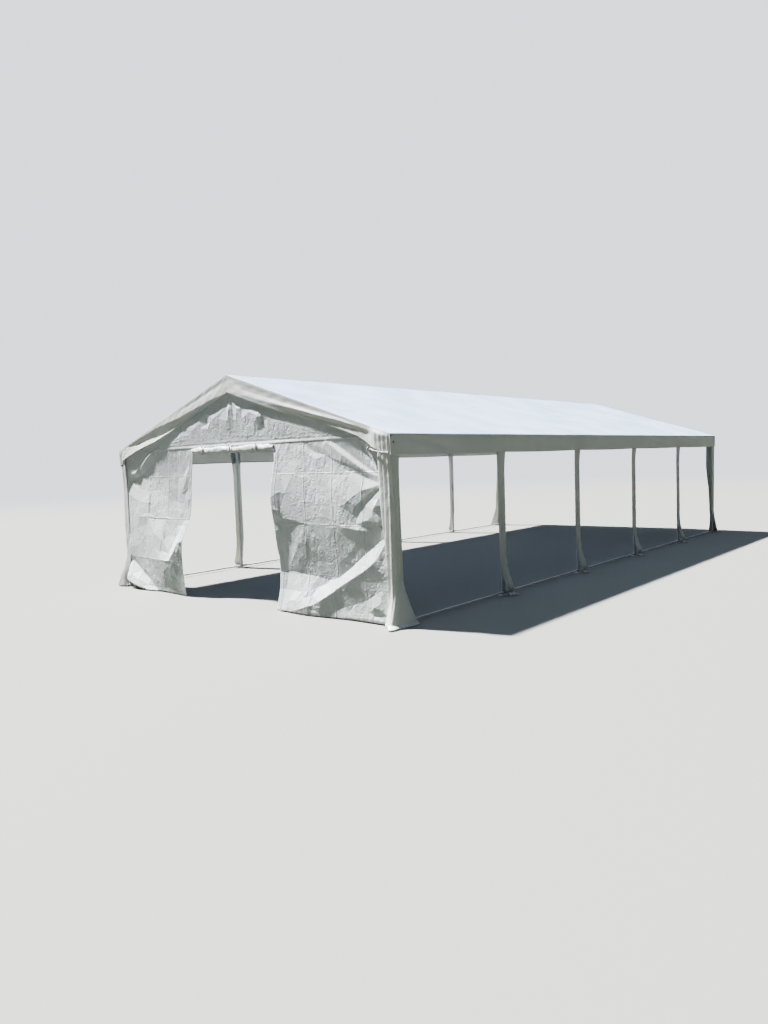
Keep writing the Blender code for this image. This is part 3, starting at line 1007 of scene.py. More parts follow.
class Panel(Enum):
    """The panels of the gable wall."""

    LEFT = "left"
    RIGHT = "right"
    TOP = "top"

    @property
    def nodes(self) -> tuple[str, ...]:
        """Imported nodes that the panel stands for; the top one also covers the side walls above the seam."""
        every = ("gable_wall_left", "gable_wall_right", "gable_wall_top")
        return every if self is Panel.TOP else (f"gable_wall_{self.value}",)


@dataclass
class GableWall:
    """The front wall: a panel each side of the doorway and one over it, creased and slack at their edges."""

    plan: TentPlan
    cloth: SheetFinish
    left_cloth: SheetFinish  # the same cloth, whose packing folds fall elsewhere
    thickness: float = 0.002
    step: float = 0.010
    leg_edge: float = 2.39
    seam: float = 1.905
    lap: float = 0.012
    lap_lift: float = 0.003  # how far the top panel stands before the other two at the seam
    crinkle: float = 0.0008  # height of the crinkles that are in the mesh
    softness: float = 0.35
    hem_hold: float = 0.55  # how firmly the simulation holds the hem
    sewn_gap: float = 0.0045  # between the panel's top and the roof's outer face, across the slope

    # Crease lines of the panels and the doorway's free edges. The lines are drawn, but most of these
    # numbers are not chosen by hand: a program solved the heights, and shifted the places to suit them, so
    # that each flat face catches the light it has in the photograph.
    RIGHT = (
        ((765, 1930, 0), (900, 1930, 0), (1050, 1930, 0), (1210, 1925, 0), (1400, 1925, 0), (1600, 1920, 0),
         (1750, 1910, 0), (1900, 1885, 0), (2050, 1870, 0), (2200, 1850, 0), (2350, 1820, 0)),
        ((2350, 1820, 0), (2350, 1700, 0), (2350, 1620, 0)),
        ((2360, 1200, 0), (2360, 1100, 0)),
        ((2400, 800, 0), (2400, 700, 0)),
        ((2405, 550, 0), (2410, 450, 0)),
        ((1210, 1890, 0), (1314, 1830, -6), (1414, 1775, -6), (1588, 1735, -2), (1690, 1675, 0),
         (1788, 1640, 0), (1888, 1613, -5), (1988, 1565, -10), (2088, 1530, -14), (2190, 1495, -11),
         (2350, 1445, 0)),
        ((1249, 1905, -1), (1422, 1855, 2), (1520, 1812, 2), (1598, 1775, 3), (1700, 1708, 6),
         (1798, 1670, 7), (1895, 1645, 2), (1994, 1600, -3), (2092, 1560, -8), (2194, 1520, -7),
         (2350, 1460, 0)),
        ((1123, 1860, 3), (1227, 1820, 7), (1307, 1765, 7), (1432, 1700, 11), (1582, 1640, 2),
         (1752, 1610, 3), (1942, 1560, -9), (2133, 1489, -19), (2350, 1430, 0)),
        ((1560, 1893, 0), (1607, 1872, 7), (1710, 1810, 11), (1810, 1750, 11), (1905, 1695, 6),
         (2000, 1635, 1), (2096, 1580, -4), (2196, 1535, -5), (2350, 1475, 0)),
        ((1629, 1903, -1), (1694, 1865, -7), (1792, 1812, -9), (1887, 1757, -14), (1984, 1692, -18),
         (2082, 1632, -20), (2186, 1577, -16), (2350, 1500, 0)),
        ((1800, 1868, -4), (1893, 1808, -10), (1987, 1745, -14), (2085, 1680, -16), (2188, 1612, -12),
         (2350, 1512, 0)),
        ((2055, 1835, -8), (2119, 1735, -13), (2186, 1655, -11), (2260, 1580, -6), (2350, 1525, 0)),
        ((2080, 1845, -13), (2145, 1745, -24), (2212, 1662, -22), (2284, 1587, -13), (2350, 1535, 0)),
        ((2108, 1852, -4), (2172, 1757, -5), (2240, 1676, -4), (2306, 1605, -2), (2350, 1555, 0)),
        ((2150, 1852, 0), (2216, 1765, -8), (2280, 1695, -8), (2350, 1630, 0)),
        ((786, 1700, 26), (898, 1700, 16), (1060, 1700, 9), (1211, 1680, 10)),
        ((776, 1546, 53), (885, 1541, 30), (1079, 1536, 26), (1303, 1535, 13), (1469, 1530, 18),
         (1611, 1530, 11), (1901, 1525, 1)),
        ((1282, 1501, 21), (1272, 1401, 26), (1257, 1252, 30), (1243, 1053, 30)),
        ((1307, 1500, 16), (1295, 1401, 23), (1280, 1252, 28), (1269, 1053, 28)),
        ((1624, 1401, 24), (1679, 1302, 29), (1679, 1202, 29), (1665, 1053, 25)),
        ((1710, 1381, 30), (1711, 1302, 32), (1705, 1202, 30), (1696, 1053, 26)),
        ((768, 1404, 82), (813, 1364, 80), (860, 1339, 74), (893, 1349, 63), (956, 1333, 50),
         (1063, 1342, 38), (1154, 1362, 31)),
        ((860, 1339, 74), (873, 1167, 80)),
        ((893, 1349, 63), (900, 1166, 70)),
        ((1049, 1204, 44), (1054, 1085, 49)),
        ((1157, 1223, 34), (1159, 1084, 35)),
        ((1403, 1381, 22), (1426, 1222, 25), (1425, 1083, 24)),
        ((1549, 1222, 29), (1546, 1083, 26)),
        ((773, 1287, 100), (784, 1208, 102), (789, 1154, 102)),
        ((2350, 1398, 0), (2207, 1390, 8), (2099, 1371, 20), (1994, 1317, 26), (1899, 1257, 30),
         (1811, 1208, 32), (1753, 1193, 34)),
        ((2225, 1365, 5), (2149, 1301, 10), (2070, 1252, 21), (2000, 1212, 22), (1942, 1121, 13),
         (1917, 1052, 17)),
        ((1829, 1193, 30), (1812, 1103, 33), (1808, 1033, 29)),
        ((2355, 1378, 0), (2267, 1335, -3), (2198, 1280, -2), (2127, 1216, 7), (2056, 1151, 7),
         (2003, 1090, 3), (1988, 1021, 8)),
        ((2355, 1340, 0), (2340, 1310, 5), (2297, 1271, 8), (2269, 1212, 27), (2233, 1167, 20),
         (2224, 1102, 21), (2168, 1067, 20), (2100, 1052, 22), (2011, 1021, 12)),
        ((2233, 1167, 20), (2291, 1126, 12), (2360, 1100, 0)),
        ((2100, 1052, 22), (2216, 1057, 18), (2283, 1042, 15), (2360, 1020, 0)),
        ((789, 1154, 102), (847, 1149, 92), (902, 1137, 71), (914, 1057, 65), (1014, 1051, 57),
         (1099, 1035, 44), (1160, 1019, 36), (1234, 1011, 31), (1326, 1006, 24), (1521, 1005, 21),
         (1724, 1009, 25), (1877, 1015, 28), (1988, 1013, 8), (2061, 1001, 12), (2126, 986, 7),
         (2189, 950, -1)),
        ((788, 1009, 75), (854, 1008, 64), (904, 946, 47), (937, 976, 46), (992, 970, 42), (1005, 935, 36),
         (1070, 984, 36), (1136, 994, 33), (1233, 999, 30), (1325, 991, 24), (1521, 980, 20),
         (1723, 983, 23), (1878, 979, 29), (2017, 957, 18), (2109, 951, 10), (2188, 948, -2)),
        ((799, 910, 72), (788, 808, 54), (793, 707, 41), (806, 626, 31), (801, 504, 18), (801, 458, 14)),
        ((870, 928, 61), (855, 807, 48), (851, 655, 27), (841, 482, 10)),
        ((943, 955, 43), (934, 805, 30), (923, 653, 16), (903, 500, -1), (910, 457, -5)),
        ((976, 945, 41), (964, 805, 30), (1083, 785, 30)),
        ((1233, 924, 31), (1213, 854, 31), (1121, 765, 29), (1086, 686, 33), (1027, 605, 24), (951, 480, 1)),
        ((1245, 983, 28), (1253, 904, 26), (1244, 804, 27), (1226, 622, 10), (1198, 502, 7)),
        ((1274, 983, 27), (1276, 903, 25), (1285, 803, 19), (1263, 621, 3), (1267, 479, -3)),
        ((1129, 625, 26), (1104, 503, 13)),
        ((1310, 702, 9), (1401, 680, 1), (1392, 599, -8)),
        ((1335, 579, -5), (1348, 478, -11)),
        ((1414, 852, 14), (1561, 852, 11)),
        ((1502, 720, 2), (1508, 598, -12), (1481, 496, -18)),
        ((1677, 973, 22), (1660, 801, 5), (1647, 597, -13), (1642, 465, -23)),
        ((1707, 973, 22), (1688, 800, 3), (1678, 598, -12), (1679, 475, -22)),
        ((1738, 952, 19), (1756, 922, 17), (1812, 902, 13), (1957, 871, 7), (1960, 820, 0), (1917, 750, -3),
         (1838, 678, -12), (1747, 628, -13), (1695, 567, -15), (1679, 475, -22)),
        ((2055, 901, 6), (2039, 798, -11), (1970, 718, -11), (1859, 616, -21)),
        ((2191, 899, -10), (2165, 838, -16)),
        ((2320, 960, 0), (2385, 950, 0)),
        ((2390, 900, 0), (2286, 853, -16), (2179, 781, -23), (2081, 712, -20), (1983, 637, -18),
         (1872, 559, -30), (1773, 494, -28), (1696, 440, -24), (1624, 419, -26), (1551, 404, -29),
         (1493, 409, -26), (1383, 431, -16), (1248, 445, -2), (1104, 456, 4), (914, 457, -5), (801, 458, 14)),
        ((2390, 870, 0), (2326, 771, 6), (2257, 673, 19), (2213, 622, 37), (2106, 551, 28), (1971, 480, 23),
         (1874, 426, 25), (1740, 355, 21), (1638, 285, 38), (1556, 234, 55), (1460, 176, 77),
         (1358, 125, 73), (1282, 107, 94), (1179, 71, 90), (1037, 33, 78), (960, 6, 70)),
        ((785, 254, 17), (908, 256, 24), (1030, 257, 27), (1165, 251, 41), (1291, 280, 39), (1401, 320, 1),
         (1501, 356, -19)),
        ((775, 131, 39), (849, 112, 43), (962, 135, 55), (1078, 159, 70), (1187, 186, 61), (1330, 222, 47)),
        ((761, 18, 60), (853, 19, 64), (921, 21, 71)),
        ((2308, 742, 10), (2275, 663, 17), (2294, 583, 16), (2338, 522, 10)),
        ((2333, 661, 4), (2326, 621, 7), (2364, 581, 5)),
        ((2385, 670, 0), (2393, 601, 3)),
        ((2361, 690, 1), (2333, 661, 4)),
        ((2269, 564, 21), (2253, 503, 15), (2256, 442, 7)),
        ((2010, 422, 11), (1976, 359, -4)),
        ((1761, 283, 11), (1736, 222, 6)),
        ((1617, 210, 37), (1589, 131, 39)),
        ((1524, 202, 62), (1474, 120, 71), (1438, 49, 65)),
        ((1358, 91, 73), (1336, 44, 81)),
        ((2410, 370, 0), (2314, 358, 4), (2205, 306, -3), (2069, 231, -16), (1925, 183, -11),
         (1788, 141, -1), (1706, 107, 12), (1625, 87, 27), (1560, 41, 39), (1496, 26, 54)),
        ((2406, 49, 3), (2336, 40, 2), (2180, 46, 0), (2076, 42, -2), (1886, 36, 5), (1712, 24, 22),
         (1562, 10, 41), (1463, 13, 60), (1293, 21, 86), (1141, 15, 83), (1035, 3, 76)),
        ((2122, 115, -8), (2193, 168, 5), (2277, 169, 10), (2367, 109, 8)),
        ((2122, 115, -8), (2181, 79, -9), (2261, 84, -9), (2365, 99, 6)),
        ((2074, 172, -14), (1997, 113, -10)),
        ((2295, 279, 5), (2282, 220, 13)),
        ((1835, 96, -3), (1795, 79, 7)),
        ((2396, -35, 0), (2164, -47, -8), (1878, -42, 0), (1544, -27, 45), (1186, -16, 79), (1032, -18, 73)),
    )
    LEFT = (
        ((-770, 1930, 0), (-850, 1930, 0), (-1050, 1925, 0), (-1260, 1925, 0), (-1410, 1925, 0),
         (-1600, 1930, 0), (-1750, 1930, 0), (-2000, 1900, 0), (-2360, 1800, 0)),
        ((-2360, 1800, 0), (-2360, 1600, 0), (-2370, 1450, 0)),
        ((-2370, 1320, 0), (-2380, 1200, 0), (-2385, 1060, 0)),
        ((-2395, 940, 0), (-2400, 840, 0)),
        ((-1601, 1925, -4), (-1700, 1900, -4), (-1765, 1872, 4), (-1850, 1822, 10), (-1965, 1745, 10),
         (-2050, 1680, 6)),
        ((-1424, 1905, -3), (-1601, 1905, -1), (-1688, 1880, 13), (-1742, 1852, 22), (-1834, 1796, 24),
         (-1935, 1722, 17), (-2010, 1662, 9)),
        ((-1404, 1885, -3), (-1482, 1840, -8), (-1612, 1770, -7), (-1825, 1665, -16), (-2032, 1570, -19),
         (-2197, 1519, -28), (-2288, 1479, -23), (-2324, 1429, -14), (-2375, 1390, 0)),
        ((-1509, 1870, -6), (-1646, 1830, 0), (-1745, 1788, 6), (-1855, 1722, 6), (-2003, 1625, 2)),
        ((-2316, 1540, -10), (-2223, 1585, 10), (-2144, 1600, 21)),
        ((-2296, 1560, -4), (-2193, 1600, 16)),
        ((-1288, 1850, -5), (-1293, 1700, -15), (-1308, 1560, -18)),
        ((-1053, 1870, -2), (-1130, 1830, -7), (-1216, 1780, -11), (-1244, 1700, -16)),
        ((-1064, 1840, -3), (-1104, 1770, -10), (-1155, 1670, -17), (-1181, 1600, -21)),
        ((-988, 1850, -5), (-981, 1760, -7), (-1018, 1680, -12), (-1105, 1600, -17)),
        ((-862, 1840, -1), (-911, 1720, -8), (-982, 1620, -15), (-1044, 1530, -16)),
        ((-843, 1760, -6), (-880, 1700, -7), (-936, 1580, -4), (-1015, 1450, -10), (-1096, 1329, -11)),
        ((-820, 1780, -4), (-851, 1710, -8), (-885, 1600, -7), (-913, 1500, -9), (-954, 1379, -17),
         (-1024, 1309, -16)),
        ((-784, 1820, 4), (-815, 1720, -7), (-841, 1600, -7), (-862, 1450, -8), (-879, 1299, -10),
         (-895, 1149, -7), (-902, 1051, 5), (-920, 1001, 10)),
        ((-1727, 1535, -17), (-1623, 1530, -14), (-1476, 1525, -17), (-1308, 1520, -18), (-1152, 1525, -21)),
        ((-1366, 1490, -17), (-1377, 1369, -11), (-1395, 1250, -3), (-1421, 1121, 12), (-1436, 1023, 28)),
        ((-1337, 1489, -18), (-1357, 1369, -14), (-1375, 1250, -6), (-1394, 1121, 11), (-1411, 1023, 25)),
        ((-1804, 1490, -15), (-1833, 1350, -2), (-1823, 1202, 23), (-1843, 1063, 29), (-1848, 1024, 38)),
        ((-1772, 1490, -14), (-1799, 1350, -5), (-1796, 1201, 15), (-1806, 1063, 27), (-1811, 1024, 36)),
        ((-2117, 1400, -10), (-2075, 1221, 15), (-2082, 1102, 23)),
        ((-1620, 1379, -13), (-1610, 1220, 6), (-1621, 1102, 18)),
        ((-1177, 1399, -18), (-1209, 1219, -19), (-1201, 1100, -1)),
        ((-1035, 1199, -10), (-1055, 1100, -3)),
        ((-2385, 1020, 0), (-2226, 1012, 14), (-2052, 1015, 29), (-1837, 1014, 39), (-1656, 1006, 27),
         (-1414, 1003, 30), (-1183, 991, 11), (-1041, 986, 6), (-935, 981, 10)),
        ((-2385, 990, 0), (-2053, 993, 28), (-1837, 995, 38), (-1659, 985, 26), (-1413, 982, 30),
         (-1180, 977, 13)),
        ((-1465, 954, 35), (-1473, 858, 55), (-1483, 714, 80), (-1525, 567, 84), (-1523, 481, 98)),
        ((-1437, 954, 34), (-1451, 857, 50), (-1456, 714, 79), (-1502, 566, 81), (-1490, 482, 101)),
        ((-1897, 904, 32), (-1919, 756, 37), (-1939, 607, 37), (-1933, 508, 40)),
        ((-2164, 853, 21), (-2156, 605, 26)),
        ((-1693, 810, 66), (-1682, 614, 73)),
        ((-1247, 855, 34), (-1319, 768, 53), (-1406, 740, 60)),
        ((-1168, 903, 21), (-1078, 922, 15)),
        ((-946, 905, 36), (-962, 820, 66), (-988, 735, 88), (-997, 678, 98)),
        ((-1093, 856, 38), (-1182, 767, 45), (-1236, 663, 74), (-1306, 549, 93), (-1324, 484, 113)),
        ((-997, 678, 98), (-1038, 704, 107), (-1090, 698, 102), (-1111, 651, 114), (-1140, 594, 124),
         (-1199, 527, 130), (-1274, 453, 126)),
        ((-2405, 760, 0), (-2430, 661, 6), (-2436, 582, 8), (-2425, 502, 8), (-2356, 477, 8),
         (-2222, 459, 16), (-2044, 457, 33), (-1813, 447, 53), (-1543, 449, 98), (-1359, 445, 122),
         (-1274, 453, 126), (-1190, 438, 123), (-1085, 434, 108)),
        ((-2461, 402, 11), (-2384, 374, -2), (-2344, 400, -2), (-2228, 433, 13), (-2048, 437, 31),
         (-1819, 426, 50), (-1550, 426, 94), (-1366, 422, 117), (-1215, 413, 120)),
        ((-2523, 285, 21), (-2459, 323, 12), (-2384, 374, -2), (-2304, 375, -2), (-2198, 325, 1),
         (-2083, 253, 10), (-1987, 192, 8), (-1856, 137, 27), (-1753, 58, 29), (-1646, 0, 33)),
        ((-2273, 401, 4), (-2124, 344, 15), (-2013, 286, 22), (-1894, 229, 34), (-1792, 150, 36),
         (-1694, 70, 35), (-1608, 10, 33)),
        ((-1999, 367, 31), (-1887, 329, 39)),
        ((-1715, 333, 52), (-1728, 232, 44)),
        ((-1531, 401, 93), (-1555, 298, 72), (-1559, 215, 57), (-1541, 112, 44)),
        ((-1458, 302, 90), (-1478, 219, 71), (-1511, 123, 47)),
        ((-1323, 367, 113), (-1281, 327, 109), (-1181, 356, 110)),
        ((-1244, 276, 101), (-1277, 172, 80)),
        ((-1541, 71, 37), (-1426, 93, 47), (-1321, 65, 51), (-1225, 5, 49)),
        ((-1048, 639, 101), (-1041, 521, 99), (-1048, 374, 101), (-1073, 223, 87), (-1076, 101, 75),
         (-1082, -2, 58)),
        ((-1007, 569, 95), (-1013, 470, 91), (-1002, 322, 92), (-997, 172, 82), (-984, 21, 71)),
        ((-1101, 573, 117), (-1110, 425, 111), (-1151, 224, 91), (-1184, 68, 63)),
        ((-2409, 144, 86), (-2272, 200, 74), (-2107, 143, 84), (-1997, 117, 61), (-1916, 75, 51)),
        ((-2365, 97, 94), (-2218, 81, 105), (-2056, 34, 114), (-1906, 6, 87), (-1701, -11, 61),
         (-1599, -20, 32), (-1340, -28, 39), (-1127, -35, 48), (-1010, -31, 61)),
        ((-1689, 152, 44), (-1610, 152, 44)),
        ((-1731, 191, 43), (-1628, 192, 45)),
    )
    TOP = (
        ((-2500, 1900, 0), (-2000, 2060, 0), (-1200, 2330, 0), (-600, 2530, 0), (0, 2740, 0),
         (600, 2530, 0), (1200, 2330, 0), (2000, 2060, 0), (2500, 1900, 0)),
        ((-1500, 2030, 0), (-1000, 2190, 0), (-500, 2340, 0), (0, 2460, 0), (500, 2340, 0), (1000, 2190, 0),
         (1500, 2030, 0)),
        ((-1600, 1930, 0), (-1410, 1925, 0), (-1260, 1925, 0), (-1050, 1925, 0), (-850, 1930, 0),
         (-770, 1930, 0), (-500, 1930, 0), (-200, 1930, 0), (0, 1930, 0), (200, 1930, 0), (500, 1930, 0),
         (765, 1930, 0), (900, 1930, 0), (1050, 1930, 0), (1210, 1925, 0), (1400, 1925, 0), (1600, 1920, 0)),
        ((-1195, 1985, 3), (-844, 2000, 4), (-495, 1997, 4), (-197, 2000, 2), (3, 2000, 3), (53, 1995, 2),
         (304, 1988, 3), (504, 1992, 3), (642, 2000, 2), (852, 1985, 2), (982, 1985, 2), (1202, 1985, 2)),
        ((4, 2018, 3), (54, 2012, 3), (306, 2003, 5), (465, 2006, 4)),
        ((-45, 2354, 8), (-36, 2198, 19), (-49, 2025, 4)),
        ((2, 2327, 25), (-5, 2198, 18), (-18, 2025, 5)),
        ((26, 2327, 20), (17, 2149, 13), (5, 2035, 4)),
        ((60, 2340, 4), (75, 2199, 12), (65, 2119, 8), (55, 2030, 4)),
        ((132, 2348, 17), (126, 2199, 13), (115, 2030, 4)),
        ((156, 2328, 17), (149, 2199, 11), (136, 2050, 5)),
        ((181, 2328, 16), (167, 2050, 5)),
        ((223, 2330, 2), (234, 2199, 11), (227, 2030, 5)),
        ((371, 2273, 17), (361, 2149, 9), (356, 2025, 5)),
        ((443, 2253, 19), (447, 2149, 14), (446, 2030, 5)),
        ((511, 2279, 10), (542, 2217, 27), (519, 2129, 12), (494, 2050, 3)),
        ((541, 2269, 9), (568, 2198, 20), (559, 2119, 8), (544, 2075, 3)),
        ((588, 2239, 7), (596, 2180, -3)),
        ((687, 2154, 6), (622, 2120, 1), (561, 2060, 0), (504, 2010, 3)),
        ((789, 2139, 8), (705, 2090, 5), (664, 2040, 3)),
        ((909, 2124, 8), (837, 2070, 6), (773, 2020, 3)),
        ((1054, 2085, 4), (984, 2030, 4), (932, 1990, 2)),
        ((640, 1960, 0), (721, 1955, 0)),
        ((1204, 2040, 4), (1124, 2005, 3), (1041, 1955, 1)),
        ((1334, 2020, 4), (1301, 1960, 1)),
        ((-203, 2229, 13), (-209, 2119, 8), (-216, 2020, 3)),
        ((-322, 2233, 17), (-333, 2119, 9), (-335, 2020, 4)),
        ((-374, 2199, 12), (-391, 2080, 6)),
        ((-464, 2190, -3), (-457, 2119, 9), (-492, 2050, 6)),
        ((-589, 2139, 8), (-609, 2059, 8)),
        ((-681, 2154, 13), (-718, 2079, 8), (-783, 2025, 5)),
        ((-785, 2119, 11), (-831, 2060, 6), (-873, 2020, 5)),
        ((-969, 2069, 8), (-1013, 2010, 5)),
        ((-1144, 2020, 4), (-1217, 1965, 2)),
    )
    LEFT_EDGE = (
        (1930, -770), (1820, -784), (1720, -815), (1600, -841), (1450, -862), (1299, -879), (1149, -895),
        (1051, -902), (1001, -920), (905, -946), (820, -962), (735, -988), (678, -997), (569, -1007),
        (470, -1013), (322, -1002), (172, -997), (21, -984),
    )
    RIGHT_EDGE = (
        (1930, 765), (1700, 786), (1546, 776), (1404, 768), (1287, 773), (1208, 784), (1154, 789),
        (1009, 788), (910, 799), (808, 788), (707, 793), (626, 806), (504, 801), (458, 801), (254, 785),
        (131, 775), (18, 761),
    )

    def _slack(self, x: np.ndarray, z: np.ndarray, line: FreeEdge, door: float) -> np.ndarray:
        """How far the cloth beside the doorway is drawn across the tent.

        Args:
            x: flat places across.
            z: heights of the places.
            line: where the free edge stands.
            door: the doorway's side, where that edge is cut.

        Returns:
            The shift at each place: all of the edge's at the doorway, none at the leg.
        """
        heights, places = np.array(line[::-1]).T / 1000
        way = math.copysign(1.0, door)
        share = np.clip((self.plan.leg_x - way * x) / (self.plan.leg_x - way * door), 0, 1)
        return (np.interp(z, heights, places) - door) * share**1.5

    def _bend(self, flat: np.ndarray, panel: Panel) -> np.ndarray:
        """Places of a panel, from its flat cut."""
        plan = self.plan
        x, z = flat[:, 0].copy(), flat[:, 1]
        if panel is Panel.LEFT:
            x += self._slack(x, z, self.LEFT_EDGE, plan.door_left)
        elif panel is Panel.RIGHT:
            x += self._slack(x, z, self.RIGHT_EDGE, plan.door_right)
        folds = FoldNet(self.RIGHT + self.LEFT + self.TOP).heights(x, z)
        held = 1 - ease(np.abs(x), self.leg_edge, self.leg_edge + 0.05)
        loose = np.minimum(ease(plan.roof(x) - z, 0.02, 0.2), held)
        tall = (crumple(flat * (1.0, 0.6), 0.16, 3.0) - 0.35) * self.crinkle
        broad = (crumple(flat * (0.6, 1.2), 0.07, 8.0) - 0.35) * self.crinkle
        small = tall + broad
        lift = folds * held + small * loose
        if panel is Panel.TOP:
            lift += self.lap_lift * ease(self.seam + 0.018 - z, 0.0, 0.014)
        return np.column_stack((x, plan.wall_face - lift, z))

    def build(self) -> list[bpy.types.Object]:
        """Make the wall's three panels, which are sewn together along the seam.

        Returns:
            The panels: left, right and top.
        """
        plan = self.plan
        sides = spaced(plan.door_right, plan.leg_x, self.step)
        middle = spaced(plan.door_left, plan.door_right, self.step)
        low = spaced(plan.hem_height, self.seam, self.step)
        high = spaced(self.seam - self.lap, plan.ridge, self.step)
        whole = np.concatenate((-sides[::-1], middle[1:-1], sides))
        return [
            self._panel(Panel.LEFT, -sides[::-1], low),
            self._panel(Panel.RIGHT, sides, low),
            self._panel(Panel.TOP, whole, high),
        ]

    def _panel(self, panel: Panel, across: np.ndarray, up: np.ndarray) -> bpy.types.Object:
        """Args:
            panel: which one it is.
            across: flat places of its columns.
            up: flat places of its rows.

        Returns:
            The panel.
        """
        plan = self.plan
        sheet = SheetMesh()
        sheet.grid(across, up)
        if panel is Panel.TOP:
            self._cut_slopes(sheet)
        area = sheet.area()
        sheet.bend(lambda flat: self._bend(flat, panel))
        inner = [vert for vert in sheet.bm.verts if not vert.is_boundary]
        sheet.soften(inner, 1, self.softness)
        sheet.face_towards(Vector((0.0, -1.0, 0.0)))
        pins = self._pins(sheet)
        cloth = self.left_cloth if panel is Panel.LEFT else self.cloth
        thing = sheet.finish(f"gable_panel_{panel.value}", cloth, self.thickness)
        thickness = thing.modifiers["thickness"]
        thickness.show_viewport = False
        ClothRelaxer().settle(thing, pins)
        thickness.show_viewport = True
        dress(thing, "wall_cloth", *panel.nodes)
        return thing

    def _cut_slopes(self, sheet: SheetMesh) -> None:
        """Cut a flat sheet along the underside of both roof slopes and keep its cut as its UV."""
        plan = self.plan
        under = self.sewn_gap / math.cos(plan.pitch)
        for way in (-1, 1):
            bmesh.ops.bisect_plane(
                sheet.bm,
                geom=[*sheet.bm.verts, *sheet.bm.edges, *sheet.bm.faces],
                dist=1e-5,
                plane_co=(0.0, plan.ridge - under, 0.0),
                plane_no=(way * plan.rise, 1.0, 0.0),
                clear_outer=True,
            )
        sheet.keep_flat(sheet.bm.faces)

    def _pins(self, sheet: SheetMesh) -> np.ndarray:
        """How firmly the simulation holds each vertex: fully at roof, legs and seam, elsewhere lightly."""
        plan = self.plan
        pins = []
        for vert in sheet.bm.verts:
            x, _, z = vert.co
            fast = plan.roof(x) - z < 0.03 or abs(x) > self.leg_edge or abs(z - self.seam) < 2 * self.step
            pins.append(1.0 if fast else self.hem_hold if z < 0.05 else ClothRelaxer.hold)
        return np.array(pins)


